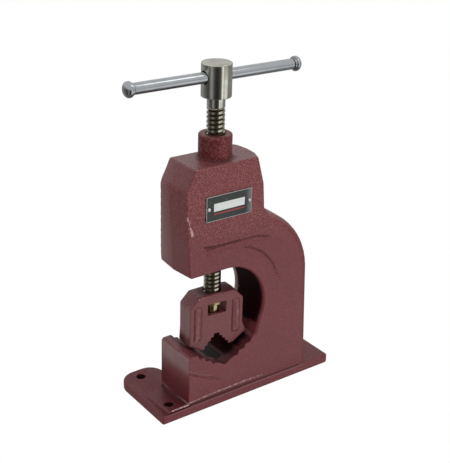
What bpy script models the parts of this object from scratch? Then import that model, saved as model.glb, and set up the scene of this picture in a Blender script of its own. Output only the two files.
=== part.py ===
# Open-sided pipe vise with a single screw.
# Lengths are in metres. +Z is up, the open mouth faces -X and the side with the nameplate faces -Y.
# The origin lies on the underside of the base, straight below the screw.

import math

import bmesh
import bpy

# Shared fits
CLEARANCE = 0.0003
CUT_OVERRUN = 0.004

# Frame: the side walls
FRAME_NEAR_SIDE = -0.0222
FRAME_THICKNESS = 0.0472
FRAME_FAR_SIDE = FRAME_NEAR_SIDE + FRAME_THICKNESS
FRAME_EDGE_ROUNDING = 0.0008
DRAFT_SHARE = 0.5

# Base
BASE_FRONT = 0.0680
BASE_REAR = 0.1330
BASE_LEDGE = 0.0003
BASE_NEAR_EDGE = FRAME_NEAR_SIDE - BASE_LEDGE
BASE_THICKNESS = 0.0085
BASE_TOP_EDGE = 0.0012
BASE_BOTTOM_EDGE = 0.0006
BASE_CORNER_RADIUS = 0.0015
BASE_REAR_CORNER_RADIUS = 0.0045
WAIST_LEDGE = 0.0045
WAIST_RADIUS = 0.0130
EAR_LENGTH = 0.0362
EAR_REACH = FRAME_FAR_SIDE + EAR_LENGTH
EAR_OUTER_RADIUS = 0.0170
EAR_INNER_RADIUS = 0.0150
EAR_WIDTH = 0.0390
EAR_SLANT = 0.0110
BOLT_HOLE_DIAMETER = 0.0088
BOLT_HOLE_INSET = 0.0142
NEAR_HOLE_INSET = 0.0122
EAR_HOLE_INSET = 0.0195
EAR_HOLE_EDGE = 0.0128
PAD_INSET = 0.0055
PAD_HEIGHT = 0.0124
PAD_END_SETBACK = 0.0030
PAD_SINK = 0.0002
PAD_BEVEL = 0.0008
PAD_SETBACK = 0.00015
GROOVE_BOTTOM = 0.0087
GROOVE_HEIGHT = 0.0019
GROOVE_DEPTH = 0.0024
GROOVE_END = 0.0950

# Frame: post and lower jaw
POST_FRONT = 0.0400
POST_SINK = 0.0055
POST_BULGE = 0.0014
LIP_NOSE_RADIUS = 0.0034
LIP_CORNER_RADIUS = 0.0010
VEE_OFFSET = 0.0012
VEE_FLOOR = 0.0418
VEE_FIRST_RISER = 0.0084
TOOTH_RUN = 0.0073
TOOTH_RISE = 0.0048
TOOTH_TILT = 0.0006
TOOTH_LEAN = 0.0011
TEETH_PER_ARM = 4
TOOTH_EDGE_ROUNDING = 0.0004
ARM_SPAN = VEE_FIRST_RISER + TOOTH_RUN * (TEETH_PER_ARM - 1)
LIP_HEIGHT = VEE_FLOOR + TOOTH_RISE * TEETH_PER_ARM

# Frame: throat and spine
THROAT_RADIUS = 0.0443
THROAT_RISE = 0.0360
THROAT_HEIGHT = LIP_HEIGHT + THROAT_RISE
THROAT_START = math.radians(-24.0)
THROAT_BULGE = 0.0010
THROAT_EDGE_ROUNDING = 0.0022
THROAT_FOOT_LAND = 0.0047
THROAT_FOOT_RISE = 0.0022
SHOULDER_RADIUS = 0.0766
SHOULDER_CENTRE = 0.0213
SHOULDER_RISE = 0.0152
SHOULDER_START = math.radians(68.0)
SPINE_FOOT_SPREAD = 0.0030
SPINE_EDGE_ROUNDING = 0.0070
SPINE_BULGE = 0.0008

# Frame: housing round the screw
ARM_UNDERSIDE = THROAT_HEIGHT + THROAT_RADIUS
HOUSING_HEIGHT = 0.1007
HOUSING_TOP = ARM_UNDERSIDE + HOUSING_HEIGHT
HOUSING_FRONT_FOOT = 0.0399
HOUSING_FRONT_BELLY = 0.0447
HOUSING_BELLY_DROP = 0.0205
HOUSING_BELLY_RADIUS = 0.0150
HOUSING_TOP_FRONT = 0.0357
HOUSING_TOP_REAR = 0.0312
HOUSING_REAR_BEND = 0.0384
HOUSING_REAR_BEND_DROP = 0.0260
HOUSING_REAR_FOOT_SETBACK = 0.0096
HOUSING_REAR_FOOT_RISE = 0.0083
HOUSING_BULGE = 0.0023
HOUSING_REAR_BULGE = 0.0058
HOUSING_REAR_SHARE = 0.78
HOUSING_CORNER_RADIUS = 0.0022
ARM_CORNER_RADIUS = 0.0030
HOUSING_THICKNESS = 0.0397
HOUSING_TAPER_RISE = 0.0087
HOUSING_TAPER_LENGTH = 0.0670
BOSS_DIAMETER = 0.0300
BOSS_HEIGHT = 0.0210
BOSS_EDGE = 0.0009
BOSS_ROOT_FILLET = 0.0016
BORE_CHAMFER = 0.0012

# Frame: shallow steps cast into the near side
STEP_OVERRUN = 0.0005
STEP_END_SHARE = 0.06
RELIEF_DEPTH = 0.0014
RELIEF_BAND = 0.0020
RELIEF_REACH = 0.0090
RELIEF_FRONT = 0.0262
RELIEF_RISE = 0.0253
RELIEF_HEIGHT = ARM_UNDERSIDE + RELIEF_RISE
RELIEF_LEAD = 0.0120
RELIEF_LEAD_RISE = 0.0018
RELIEF_BEND = 0.0250
RELIEF_BEND_RADIUS = 0.0620
RELIEF_BEND_END = math.radians(33.0)
RELIEF_TIP = 0.0050
RELIEF_TAIL = 0.0950
RING_WIDTH = 0.0208
RING_RADIUS = THROAT_RADIUS + RING_WIDTH
RING_DEPTH = 0.0007
RING_BAND = 0.0010
RING_REACH = 0.0070
RING_SPAN = (math.radians(84.0), math.radians(4.0))
RING_TIP = 0.0150
RING_TAIL = 0.0300
POST_STEP_DEPTH = 0.0006
POST_STEP_BAND = 0.0010
POST_STEP_REACH = 0.0080
POST_STEP_DROP = 0.0160
POST_STEP_FALL = 0.0196
POST_STEP_POWER = 1.2
POST_STEP_REAR = 0.0050
POST_STEP_TAIL = 0.0200

# Screw
SCREW_DIAMETER = 0.0160
SCREW_PITCH = 0.0040
THREAD_DEPTH = 0.0018
THREAD_BORE_CLEARANCE = 0.0004
THREAD_FORM_SHARES = (0.0, 0.366, 0.5, 0.866)
THREAD_RUN_OUT_SHARE = 0.4
THREAD_LEAD_SHARE = 0.1
HUB_RAISE = 0.0325
HUB_BOTTOM = HOUSING_TOP + BOSS_HEIGHT + HUB_RAISE
HUB_DIAMETER = 0.0267
HUB_HEIGHT = 0.0295
HUB_CHAMFER = 0.0012
HUB_FOOT_CHAMFER = 0.0006
NECK_LENGTH = 0.0137
NECK_BOTTOM = HUB_BOTTOM - NECK_LENGTH
COLLAR_STEP = 0.0004
COLLAR_HEIGHT = 0.0022
PILOT_STEP = 0.0013
PILOT_DIAMETER = SCREW_DIAMETER - 2 * PILOT_STEP
PILOT_CLEARANCE = 0.0004
PILOT_TAIL = 0.0046
PILOT_CHAMFER = 0.0008

# Split washer that holds the screw in the jaw
WASHER_GROOVE_DEPTH = 0.0021
WASHER_MARGIN = 0.0027
WASHER_THICKNESS = 0.0026
WASHER_DIAMETER = PILOT_DIAMETER + 2 * WASHER_MARGIN
GROOVE_DIAMETER = PILOT_DIAMETER - 2 * WASHER_GROOVE_DEPTH

# Upper jaw, drawn square to its own swivel and turned a little on the screw
JAW_YAW = math.radians(-5.0)
SOCKET_CLEARANCE = 0.0005
JAW_WALL = 0.00175
JAW_THICKNESS = SCREW_DIAMETER + 2 * (SOCKET_CLEARANCE + JAW_WALL)
JAW_HALF_WIDTH = 0.0286
JAW_DIP = 0.0054
JAW_FOOT_HEIGHT = LIP_HEIGHT - JAW_DIP
JAW_FOOT_LAND = 0.0026
JAW_FOOT_SLOPE_SHARE = 0.62
JAW_FLARE_LEFT = 0.0009
JAW_FLARE_RIGHT = 0.0040
JAW_FLARE_RADIUS = 0.0022
JAW_WAIST_RISE = 0.0205
JAW_NOTCH_DEPTH = 0.0142
JAW_NOTCH_TOP = JAW_FOOT_HEIGHT + JAW_NOTCH_DEPTH
JAW_NOTCH_HALF_WIDTH = 0.0026
JAW_TOOTH_RUN = 0.0032
JAW_TOOTH_COUNT = 4
WINDOW_MARGIN = 0.0004
WINDOW_WIDTH = WASHER_DIAMETER + 2 * WINDOW_MARGIN
WINDOW_SILL = 0.0210
WINDOW_BOTTOM = JAW_NOTCH_TOP + WINDOW_SILL
WINDOW_HEIGHT = 0.0110
WINDOW_TOP = WINDOW_BOTTOM + WINDOW_HEIGHT
SOCKET_LEDGE = 0.0037
SOCKET_FLOOR = WINDOW_TOP + SOCKET_LEDGE
SOCKET_DEPTH = 0.0067
JAW_TOP = SOCKET_FLOOR + SOCKET_DEPTH
JAW_CROWN = 0.0010
JAW_SHOULDER_REACH = 0.0195
JAW_SHOULDER_DROP = 0.0106
JAW_CORNER_RADIUS = 0.0030
JAW_EDGE_ROUNDING = 0.0016
JAW_BULGE = 0.0007
RIB_CENTRE = 0.0202
RIB_WIDTH = 0.0082
RIB_FOOT_RISE = 0.0116
RIB_TOP_DROP = 0.0096
RIB_PROUD = 0.0011
RIB_ROUNDING = 0.0018
RIB_TOP_RADIUS = 0.0038

# Handle
BAR_DIAMETER = 0.0098
BAR_RISE = 0.0175
BAR_HEIGHT = HUB_BOTTOM + BAR_RISE
BAR_HALF_LENGTH = 0.0822
BAR_HOLE_CLEARANCE = 0.0003
BAR_STUB_STEP = 0.0018
BAR_STUB_LENGTH = 0.0042
BAR_CHAMFER = 0.0006
CAP_MARGIN = 0.0019
CAP_LENGTH = 0.0062
CAP_COLLAR_MARGIN = 0.0007
CAP_COLLAR_LENGTH = 0.0016
CAP_EDGE = 0.0010
CAP_STRAIGHT_SHARE = 0.33
CAP_FLAT_SHARE = 0.12

# Nameplate
PLATE_WIDTH = 0.0488
PLATE_HEIGHT = 0.0233
PLATE_THICKNESS = 0.0008
PLATE_DROP = 0.0384
PLATE_CENTRE_HEIGHT = HOUSING_TOP - PLATE_DROP
PLATE_CORNER_RADIUS = 0.0008
RIVET_INSET = 0.0026
RIVET_DIAMETER = 0.0020
RIVET_LENGTH = 0.0040
RIVET_HEAD_DIAMETER = 0.0038
RIVET_HEAD_HEIGHT = 0.0009
RIVET_HEAD_SHARES = ((1.0, 0.0), (0.9, 0.5), (0.5, 1.0))

# Facet counts
ARC_STEP = math.radians(14.0)
ROUND_SEGMENTS = 32
THREAD_SEGMENTS = 16
SMALL_SEGMENTS = 16
THROAT_STEPS = 20
SHOULDER_STEPS = 12
WASHER_STEPS = 22
SLOT_STEPS = 10
RING_STEPS = 11
RELIEF_STEPS = 9
POST_STEP_STEPS = 7
CAP_STEPS = 4
EDGE_ANGLES = (0.0, math.radians(30.0), math.radians(60.0), math.radians(90.0))
BASE_EDGE_ANGLE = math.radians(45.0)
SMOOTH_ANGLE = math.radians(32.0)


def clearScene():
    for item in list(bpy.data.objects):
        bpy.data.objects.remove(item, do_unlink=True)


def makeMaterial(name, colour, roughness, metallic):
    material = bpy.data.materials.new(name)
    material.use_nodes = True
    shader = material.node_tree.nodes["Principled BSDF"]
    shader.inputs["Base Color"].default_value = (*colour, 1.0)
    shader.inputs["Roughness"].default_value = roughness
    shader.inputs["Metallic"].default_value = metallic
    return material


def addObject(name, mesh, material=None):
    item = bpy.data.objects.new(name, mesh)
    bpy.context.scene.collection.objects.link(item)
    if material is not None:
        mesh.materials.append(material)
        mesh.shade_smooth()
        mesh.set_sharp_from_angle(angle=SMOOTH_ANGLE)
    return item


def meshFromBmesh(name, shape):
    bmesh.ops.recalc_face_normals(shape, faces=shape.faces)
    mesh = bpy.data.meshes.new(name)
    shape.to_mesh(mesh)
    shape.free()
    return mesh


def addTool(name, mesh):
    tool = addObject(name, mesh)
    tool.hide_render = True
    tool.display_type = "WIRE"
    return tool


def combine(target, tool, operation):
    modifier = target.modifiers.new(tool.name, "BOOLEAN")
    modifier.operation = operation
    modifier.solver = "EXACT"
    modifier.object = tool


def loftMesh(name, rings):
    """Closed skin of triangles through rings of equal point counts, with flat ends."""
    shape = bmesh.new()
    rows = [[shape.verts.new(point) for point in ring] for ring in rings]
    count = len(rows[0])
    for lower, upper in zip(rows, rows[1:]):
        for index in range(count):
            following = (index + 1) % count
            shape.faces.new((lower[index], lower[following], upper[following], upper[index]))
    bmesh.ops.triangulate(shape, faces=shape.faces)
    shape.faces.new(rows[0])
    shape.faces.new(rows[-1])
    return meshFromBmesh(name, shape)


def turnedMesh(name, profile, segments, axis="Z"):
    """Solid of revolution; profile holds (radius, height) pairs from one end to the other."""
    rings = []
    for radius, height in profile:
        ring = []
        for index in range(segments):
            angle = 2.0 * math.pi * index / segments
            across, along = radius * math.cos(angle), radius * math.sin(angle)
            if axis == "Z":
                ring.append((across, along, height))
            elif axis == "X":
                ring.append((height, across, along))
            else:
                ring.append((across, height, along))
        rings.append(ring)
    return loftMesh(name, rings)


def prismMesh(name, outline, low, high, axis="Y"):
    """Outline of (a, b) pairs pushed from low to high along one axis."""
    if axis == "Y":
        rings = [[(a, level, b) for a, b in outline] for level in (low, high)]
    elif axis == "X":
        rings = [[(level, a, b) for a, b in outline] for level in (low, high)]
    else:
        rings = [[(a, b, level) for a, b in outline] for level in (low, high)]
    return loftMesh(name, rings)


class EdgePoint:
    """Point of an outline, with the rounding of its side edges and its sideways bulge at mid-thickness."""

    def __init__(self, across, up, rounding=FRAME_EDGE_ROUNDING, bulge=0.0, radius=0.0, fullness=DRAFT_SHARE):
        self.across = across
        self.up = up
        self.rounding = rounding
        self.bulge = bulge
        self.radius = radius
        self.fullness = fullness


def filletCorners(points):
    """Replace each corner that has a radius with an arc."""
    result = []
    count = len(points)
    for index, point in enumerate(points):
        if point.radius <= 0.0:
            result.append(point)
            continue
        before, after = points[index - 1], points[(index + 1) % count]
        inward = math.atan2(before.up - point.up, before.across - point.across)
        outward = math.atan2(after.up - point.up, after.across - point.across)
        opening = (outward - inward + math.pi) % (2.0 * math.pi) - math.pi
        half = abs(opening) / 2.0
        reach = point.radius / math.tan(half)
        middle = inward + opening / 2.0
        hub = point.radius / math.sin(half)
        centre = (point.across + hub * math.cos(middle), point.up + hub * math.sin(middle))
        start = math.atan2(point.up + reach * math.sin(inward) - centre[1],
                           point.across + reach * math.cos(inward) - centre[0])
        end = math.atan2(point.up + reach * math.sin(outward) - centre[1],
                         point.across + reach * math.cos(outward) - centre[0])
        sweep = (end - start + math.pi) % (2.0 * math.pi) - math.pi
        steps = max(2, math.ceil(abs(sweep) / ARC_STEP))
        for step in range(steps + 1):
            angle = start + sweep * step / steps
            result.append(EdgePoint(centre[0] + point.radius * math.cos(angle),
                                    centre[1] + point.radius * math.sin(angle),
                                    point.rounding, point.bulge, fullness=point.fullness))
    return result


def arcPath(centre, radius, start, end, steps):
    """Plain (across, up) places along an arc."""
    path = []
    for step in range(steps + 1):
        angle = start + (end - start) * step / steps
        path.append((centre[0] + radius * math.cos(angle), centre[1] + radius * math.sin(angle)))
    return path


def arcPoints(centre, radius, start, end, steps, rounding, bulge):
    """Outline points along an arc; rounding and bulge are (at the start, at the end) pairs."""
    points = []
    for step, (across, up) in enumerate(arcPath(centre, radius, start, end, steps)):
        share = step / steps
        points.append(EdgePoint(across, up, rounding[0] + (rounding[1] - rounding[0]) * share,
                                bulge[0] + (bulge[1] - bulge[0]) * share))
    return points


def outwardNormals(points):
    """Mitred outward normals of a closed outline that runs clockwise."""
    normals = []
    count = len(points)
    for index, point in enumerate(points):
        before, after = points[index - 1], points[(index + 1) % count]
        first = (point.across - before.across, point.up - before.up)
        second = (after.across - point.across, after.up - point.up)
        firstLength, secondLength = math.hypot(*first), math.hypot(*second)
        one = (-first[1] / firstLength, first[0] / firstLength)
        two = (-second[1] / secondLength, second[0] / secondLength)
        total = (one[0] + two[0], one[1] + two[1])
        length = max(math.hypot(*total), 1.0)
        normals.append((2.0 * total[0] / length ** 2, 2.0 * total[1] / length ** 2))
    return normals


def castingMesh(name, points, near, far):
    """Body between two flat sides: rounded side edges, and walls that swell sideways to the mid-plane."""
    normals = outwardNormals(points)
    middle = (near + far) / 2.0
    rings = []
    for side, inward, angles in ((near, 1.0, EDGE_ANGLES), (far, -1.0, EDGE_ANGLES[::-1])):
        edge = []
        for angle in angles:
            ring = []
            for point, normal in zip(points, normals):
                inset = point.rounding * (1.0 - math.sin(angle))
                depth = point.rounding * (1.0 - math.cos(angle))
                ring.append((point.across - normal[0] * inset, side + inward * depth,
                             point.up - normal[1] * inset))
            edge.append(ring)
        quarter = [(point.across + point.bulge * point.fullness, (side + middle) / 2.0, point.up)
                   for point in points]
        centre = [(point.across + point.bulge, middle, point.up) for point in points]
        rings += edge + [quarter, centre] if side == near else [quarter] + edge
    return loftMesh(name, rings)


def stairPoints(side):
    """Lower jaw teeth on one arm, from the floor of the vee outwards."""
    points = []
    for tooth in range(1, TEETH_PER_ARM):
        riser = VEE_FIRST_RISER + TOOTH_RUN * (tooth - 1)
        level = VEE_FLOOR + TOOTH_RISE * tooth
        if tooth > 1:
            points.append(EdgePoint(VEE_OFFSET + side * (riser - TOOTH_LEAN),
                                    level - TOOTH_RISE + TOOTH_TILT, TOOTH_EDGE_ROUNDING))
        points.append(EdgePoint(VEE_OFFSET + side * riser, level, TOOTH_EDGE_ROUNDING))
    end = VEE_FIRST_RISER + TOOTH_RUN * (TEETH_PER_ARM - 1) - TOOTH_LEAN
    points.append(EdgePoint(VEE_OFFSET + side * end, level + TOOTH_TILT, TOOTH_EDGE_ROUNDING))
    return points


def frameOutline():
    """Clockwise outline of the C-shaped body, seen from the nameplate side."""
    foot = BASE_THICKNESS - POST_SINK
    shoulderHeight = THROAT_HEIGHT + SHOULDER_RISE
    points = [
        EdgePoint(-POST_FRONT, foot, bulge=-POST_BULGE),
        EdgePoint(-POST_FRONT, LIP_HEIGHT, bulge=-POST_BULGE, radius=LIP_NOSE_RADIUS),
        EdgePoint(VEE_OFFSET - ARM_SPAN, LIP_HEIGHT, radius=LIP_CORNER_RADIUS),
    ]
    points += stairPoints(-1.0)[::-1]
    points.append(EdgePoint(VEE_OFFSET, VEE_FLOOR, TOOTH_EDGE_ROUNDING))
    points += stairPoints(1.0)
    points.append(EdgePoint(VEE_OFFSET + ARM_SPAN, LIP_HEIGHT - TOOTH_LEAN, FRAME_EDGE_ROUNDING))
    points.append(EdgePoint(VEE_OFFSET + ARM_SPAN + THROAT_FOOT_LAND, LIP_HEIGHT + THROAT_FOOT_RISE,
                            THROAT_EDGE_ROUNDING, -THROAT_BULGE / 2))
    points += arcPoints((0.0, THROAT_HEIGHT), THROAT_RADIUS, THROAT_START, math.radians(90.0),
                        THROAT_STEPS, (THROAT_EDGE_ROUNDING, FRAME_EDGE_ROUNDING),
                        (-THROAT_BULGE, 0.0))
    points += [
        EdgePoint(-HOUSING_FRONT_FOOT, ARM_UNDERSIDE, bulge=-HOUSING_BULGE, radius=ARM_CORNER_RADIUS),
        EdgePoint(-HOUSING_FRONT_BELLY, HOUSING_TOP - HOUSING_BELLY_DROP, bulge=-HOUSING_BULGE,
                  radius=HOUSING_BELLY_RADIUS),
        EdgePoint(-HOUSING_TOP_FRONT, HOUSING_TOP, radius=HOUSING_CORNER_RADIUS),
        EdgePoint(HOUSING_TOP_REAR, HOUSING_TOP, bulge=HOUSING_REAR_BULGE,
                  radius=HOUSING_CORNER_RADIUS, fullness=HOUSING_REAR_SHARE),
        EdgePoint(HOUSING_REAR_BEND, HOUSING_TOP - HOUSING_REAR_BEND_DROP, bulge=HOUSING_REAR_BULGE,
                  radius=HOUSING_BELLY_RADIUS, fullness=HOUSING_REAR_SHARE),
        EdgePoint(SHOULDER_CENTRE + SHOULDER_RADIUS * math.cos(SHOULDER_START) - HOUSING_REAR_FOOT_SETBACK,
                  shoulderHeight + SHOULDER_RADIUS * math.sin(SHOULDER_START) + HOUSING_REAR_FOOT_RISE,
                  bulge=HOUSING_BULGE / 2),
    ]
    points += arcPoints((SHOULDER_CENTRE, shoulderHeight), SHOULDER_RADIUS, SHOULDER_START, 0.0,
                        SHOULDER_STEPS, (SPINE_EDGE_ROUNDING, SPINE_EDGE_ROUNDING),
                        (SPINE_BULGE, SPINE_BULGE))
    spineFoot = SHOULDER_CENTRE + SHOULDER_RADIUS + SPINE_FOOT_SPREAD
    points += [
        EdgePoint(spineFoot, BASE_THICKNESS, SPINE_EDGE_ROUNDING / 2, SPINE_BULGE),
        EdgePoint(spineFoot, foot, SPINE_EDGE_ROUNDING / 2, SPINE_BULGE),
    ]
    return filletCorners(points)


def baseOutline():
    """Plan of the base: straight near edge, and two ears with a waist between on the far side."""
    earEnd = -BASE_FRONT + EAR_WIDTH
    rearEarStart = BASE_REAR - EAR_WIDTH
    waist = FRAME_FAR_SIDE + WAIST_LEDGE
    corners = [
        EdgePoint(-BASE_FRONT, BASE_NEAR_EDGE, radius=BASE_CORNER_RADIUS),
        EdgePoint(-BASE_FRONT, EAR_REACH, radius=EAR_OUTER_RADIUS),
        EdgePoint(earEnd, EAR_REACH, radius=EAR_INNER_RADIUS),
        EdgePoint(earEnd + EAR_SLANT, waist, radius=WAIST_RADIUS),
        EdgePoint(rearEarStart - EAR_SLANT, waist, radius=WAIST_RADIUS),
        EdgePoint(rearEarStart, EAR_REACH, radius=EAR_INNER_RADIUS),
        EdgePoint(BASE_REAR, EAR_REACH, radius=EAR_OUTER_RADIUS),
        EdgePoint(BASE_REAR, BASE_NEAR_EDGE, radius=BASE_REAR_CORNER_RADIUS),
    ]
    return filletCorners(corners)


def baseMesh():
    points = baseOutline()
    normals = outwardNormals(points)
    levels = (
        (0.0, BASE_BOTTOM_EDGE),
        (BASE_BOTTOM_EDGE, 0.0),
        (BASE_THICKNESS - BASE_TOP_EDGE, 0.0),
        (BASE_THICKNESS - BASE_TOP_EDGE * (1.0 - math.sin(BASE_EDGE_ANGLE)),
         BASE_TOP_EDGE * (1.0 - math.cos(BASE_EDGE_ANGLE))),
        (BASE_THICKNESS, BASE_TOP_EDGE),
    )
    rings = [[(point.across - normal[0] * inset, point.up - normal[1] * inset, level)
              for point, normal in zip(points, normals)] for level, inset in levels]
    return loftMesh("base_plate_body", rings)


def padMesh():
    """Raised pad under the post: highest at the near edge and level with the base at its far end."""
    near = BASE_NEAR_EDGE + PAD_SETBACK
    end = FRAME_FAR_SIDE - PAD_END_SETBACK
    front = -BASE_FRONT + PAD_INSET
    back = -POST_FRONT + CUT_OVERRUN
    floor = BASE_THICKNESS / 2
    tail = BASE_THICKNESS - PAD_SINK
    rings = []
    for across, drop in ((front, PAD_BEVEL), (front + PAD_BEVEL, 0.0), (back, 0.0)):
        top = PAD_HEIGHT - drop
        rings.append([(across, near, floor), (across, near, top - PAD_BEVEL),
                      (across, near + PAD_BEVEL, top), (across, end, tail), (across, end, floor)])
    return loftMesh("pad_body", rings)


def grooveMesh():
    """Long cut under the pad's edge, deepest at the front and run out at the rear."""
    outside = BASE_NEAR_EDGE - CUT_OVERRUN
    start = -BASE_FRONT - CUT_OVERRUN
    top = GROOVE_BOTTOM + GROOVE_HEIGHT
    rings = []
    for across, bottom in ((start, BASE_NEAR_EDGE + GROOVE_DEPTH), (GROOVE_END, BASE_NEAR_EDGE)):
        rings.append([(across, outside, GROOVE_BOTTOM), (across, bottom, GROOVE_BOTTOM),
                      (across, bottom, top), (across, outside, top)])
    return loftMesh("near_edge_groove", rings)


def sweptStepMesh(name, path, depth, band, reach, tip, tail):
    """Cut along a path on the near side: a short slope in, a long slope out, fading at both ends."""
    lengths = [0.0]
    for before, after in zip(path, path[1:]):
        lengths.append(lengths[-1] + math.dist(before, after))
    outside = FRAME_NEAR_SIDE - STEP_OVERRUN
    rings = []
    for index, (across, up) in enumerate(path):
        before, after = path[max(index - 1, 0)], path[min(index + 1, len(path) - 1)]
        run = math.dist(before, after)
        below = ((after[1] - before[1]) / run, (before[0] - after[0]) / run)
        share = max(STEP_END_SHARE, min(1.0, lengths[index] / tip, (lengths[-1] - lengths[index]) / tail))
        section = ((-band * STEP_OVERRUN / depth, outside),
                   (band * share, FRAME_NEAR_SIDE + depth * share),
                   (reach * (share + STEP_OVERRUN / depth), outside))
        rings.append([(across + below[0] * offset, level, up + below[1] * offset)
                      for offset, level in section])
    return loftMesh(name, rings)


def upperReliefMesh():
    """Step below the nameplate panel, which runs on as an arc over the throat."""
    path = [(-RELIEF_FRONT, RELIEF_HEIGHT + RELIEF_LEAD_RISE),
            (-RELIEF_FRONT + RELIEF_LEAD / 2, RELIEF_HEIGHT + RELIEF_LEAD_RISE / 3),
            (-RELIEF_FRONT + RELIEF_LEAD, RELIEF_HEIGHT)]
    path += arcPath((RELIEF_BEND, RELIEF_HEIGHT - RELIEF_BEND_RADIUS), RELIEF_BEND_RADIUS,
                    math.radians(90.0), RELIEF_BEND_END, RELIEF_STEPS)
    return sweptStepMesh("upper_relief", path, RELIEF_DEPTH, RELIEF_BAND, RELIEF_REACH,
                         RELIEF_TIP, RELIEF_TAIL)


def ringReliefMesh():
    """Faint step concentric with the throat."""
    path = arcPath((0.0, THROAT_HEIGHT), RING_RADIUS, RING_SPAN[0], RING_SPAN[1], RING_STEPS)
    return sweptStepMesh("ring_relief", path, RING_DEPTH, RING_BAND, RING_REACH, RING_TIP, RING_TAIL)


def postStepMesh():
    """Faint wave across the post, below the lower jaw."""
    start = -POST_FRONT - POST_BULGE
    run = -POST_STEP_REAR - start
    path = []
    for step in range(POST_STEP_STEPS + 1):
        share = step / POST_STEP_STEPS
        path.append((start + run * share,
                     LIP_HEIGHT - POST_STEP_DROP - POST_STEP_FALL * share ** POST_STEP_POWER))
    return sweptStepMesh("post_step", path, POST_STEP_DEPTH, POST_STEP_BAND, POST_STEP_REACH,
                         POST_BULGE, POST_STEP_TAIL)


def farTaperMesh():
    """Wedge that thins the housing on the far side towards its top."""
    thin = FRAME_NEAR_SIDE + HOUSING_THICKNESS
    outside = FRAME_FAR_SIDE + CUT_OVERRUN
    start = ARM_UNDERSIDE + HOUSING_TAPER_RISE
    top = HOUSING_TOP + CUT_OVERRUN
    outline = [(outside, start), (FRAME_FAR_SIDE, start), (thin, start + HOUSING_TAPER_LENGTH),
               (thin, top), (outside, top)]
    return prismMesh("far_taper", outline, -HOUSING_FRONT_BELLY - CUT_OVERRUN * 2,
                     SHOULDER_CENTRE + SHOULDER_RADIUS, "X")


def bossMesh():
    radius = BOSS_DIAMETER / 2
    top = HOUSING_TOP + BOSS_HEIGHT
    profile = [(radius, HOUSING_TOP - CUT_OVERRUN), (radius + BOSS_ROOT_FILLET, HOUSING_TOP - PAD_SINK),
               (radius + BOSS_ROOT_FILLET / 3, HOUSING_TOP + BOSS_ROOT_FILLET / 3),
               (radius, HOUSING_TOP + BOSS_ROOT_FILLET), (radius, top - BOSS_EDGE),
               (radius - BOSS_EDGE, top)]
    return turnedMesh("boss_body", profile, ROUND_SEGMENTS)


def screwBoreMesh():
    radius = SCREW_DIAMETER / 2 + THREAD_BORE_CLEARANCE
    top = HOUSING_TOP + BOSS_HEIGHT
    profile = [(radius + BORE_CHAMFER + CUT_OVERRUN, ARM_UNDERSIDE - CUT_OVERRUN),
               (radius, ARM_UNDERSIDE + BORE_CHAMFER), (radius, top - BORE_CHAMFER),
               (radius + BORE_CHAMFER + CUT_OVERRUN, top + CUT_OVERRUN)]
    return turnedMesh("screw_bore", profile, ROUND_SEGMENTS)


def boltHolePlaces():
    return (
        (-BASE_FRONT + BOLT_HOLE_INSET, BASE_NEAR_EDGE + NEAR_HOLE_INSET),
        (-BASE_FRONT + EAR_HOLE_INSET, EAR_REACH - EAR_HOLE_EDGE),
        (BASE_REAR - EAR_HOLE_INSET, EAR_REACH - EAR_HOLE_EDGE),
    )


def rivetPlaces():
    reach = PLATE_WIDTH / 2 - RIVET_INSET
    return ((-reach, "left"), (reach, "right"))


def moveMesh(mesh, offset):
    for vertex in mesh.vertices:
        vertex.co.x += offset[0]
        vertex.co.y += offset[1]
        vertex.co.z += offset[2]
    return mesh


def buildFrame(enamel):
    body = castingMesh("frame_casting", frameOutline(), FRAME_NEAR_SIDE, FRAME_FAR_SIDE)
    frame = addObject("frame_casting", body, enamel)
    for mesh in (baseMesh(), padMesh(), bossMesh()):
        combine(frame, addTool(mesh.name, mesh), "UNION")
    for mesh in (farTaperMesh(), grooveMesh(), upperReliefMesh(), ringReliefMesh(), postStepMesh(),
                 screwBoreMesh()):
        combine(frame, addTool(mesh.name, mesh), "DIFFERENCE")
    for number, (across, along) in enumerate(boltHolePlaces(), start=1):
        radius = BOLT_HOLE_DIAMETER / 2
        name = f"bolt_hole_{number}"
        profile = [(radius, -CUT_OVERRUN), (radius, PAD_HEIGHT + CUT_OVERRUN)]
        tool = moveMesh(turnedMesh(name, profile, ROUND_SEGMENTS), (across, along, 0.0))
        combine(frame, addTool(name, tool), "DIFFERENCE")
    for across, side in rivetPlaces():
        radius = RIVET_DIAMETER / 2 + CLEARANCE
        name = f"rivet_hole_{side}"
        profile = [(radius, FRAME_NEAR_SIDE - CUT_OVERRUN),
                   (radius, FRAME_NEAR_SIDE + RIVET_LENGTH)]
        tool = moveMesh(turnedMesh(name, profile, SMALL_SEGMENTS, "Y"), (across, 0.0, PLATE_CENTRE_HEIGHT))
        combine(frame, addTool(name, tool), "DIFFERENCE")
    return frame


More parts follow.
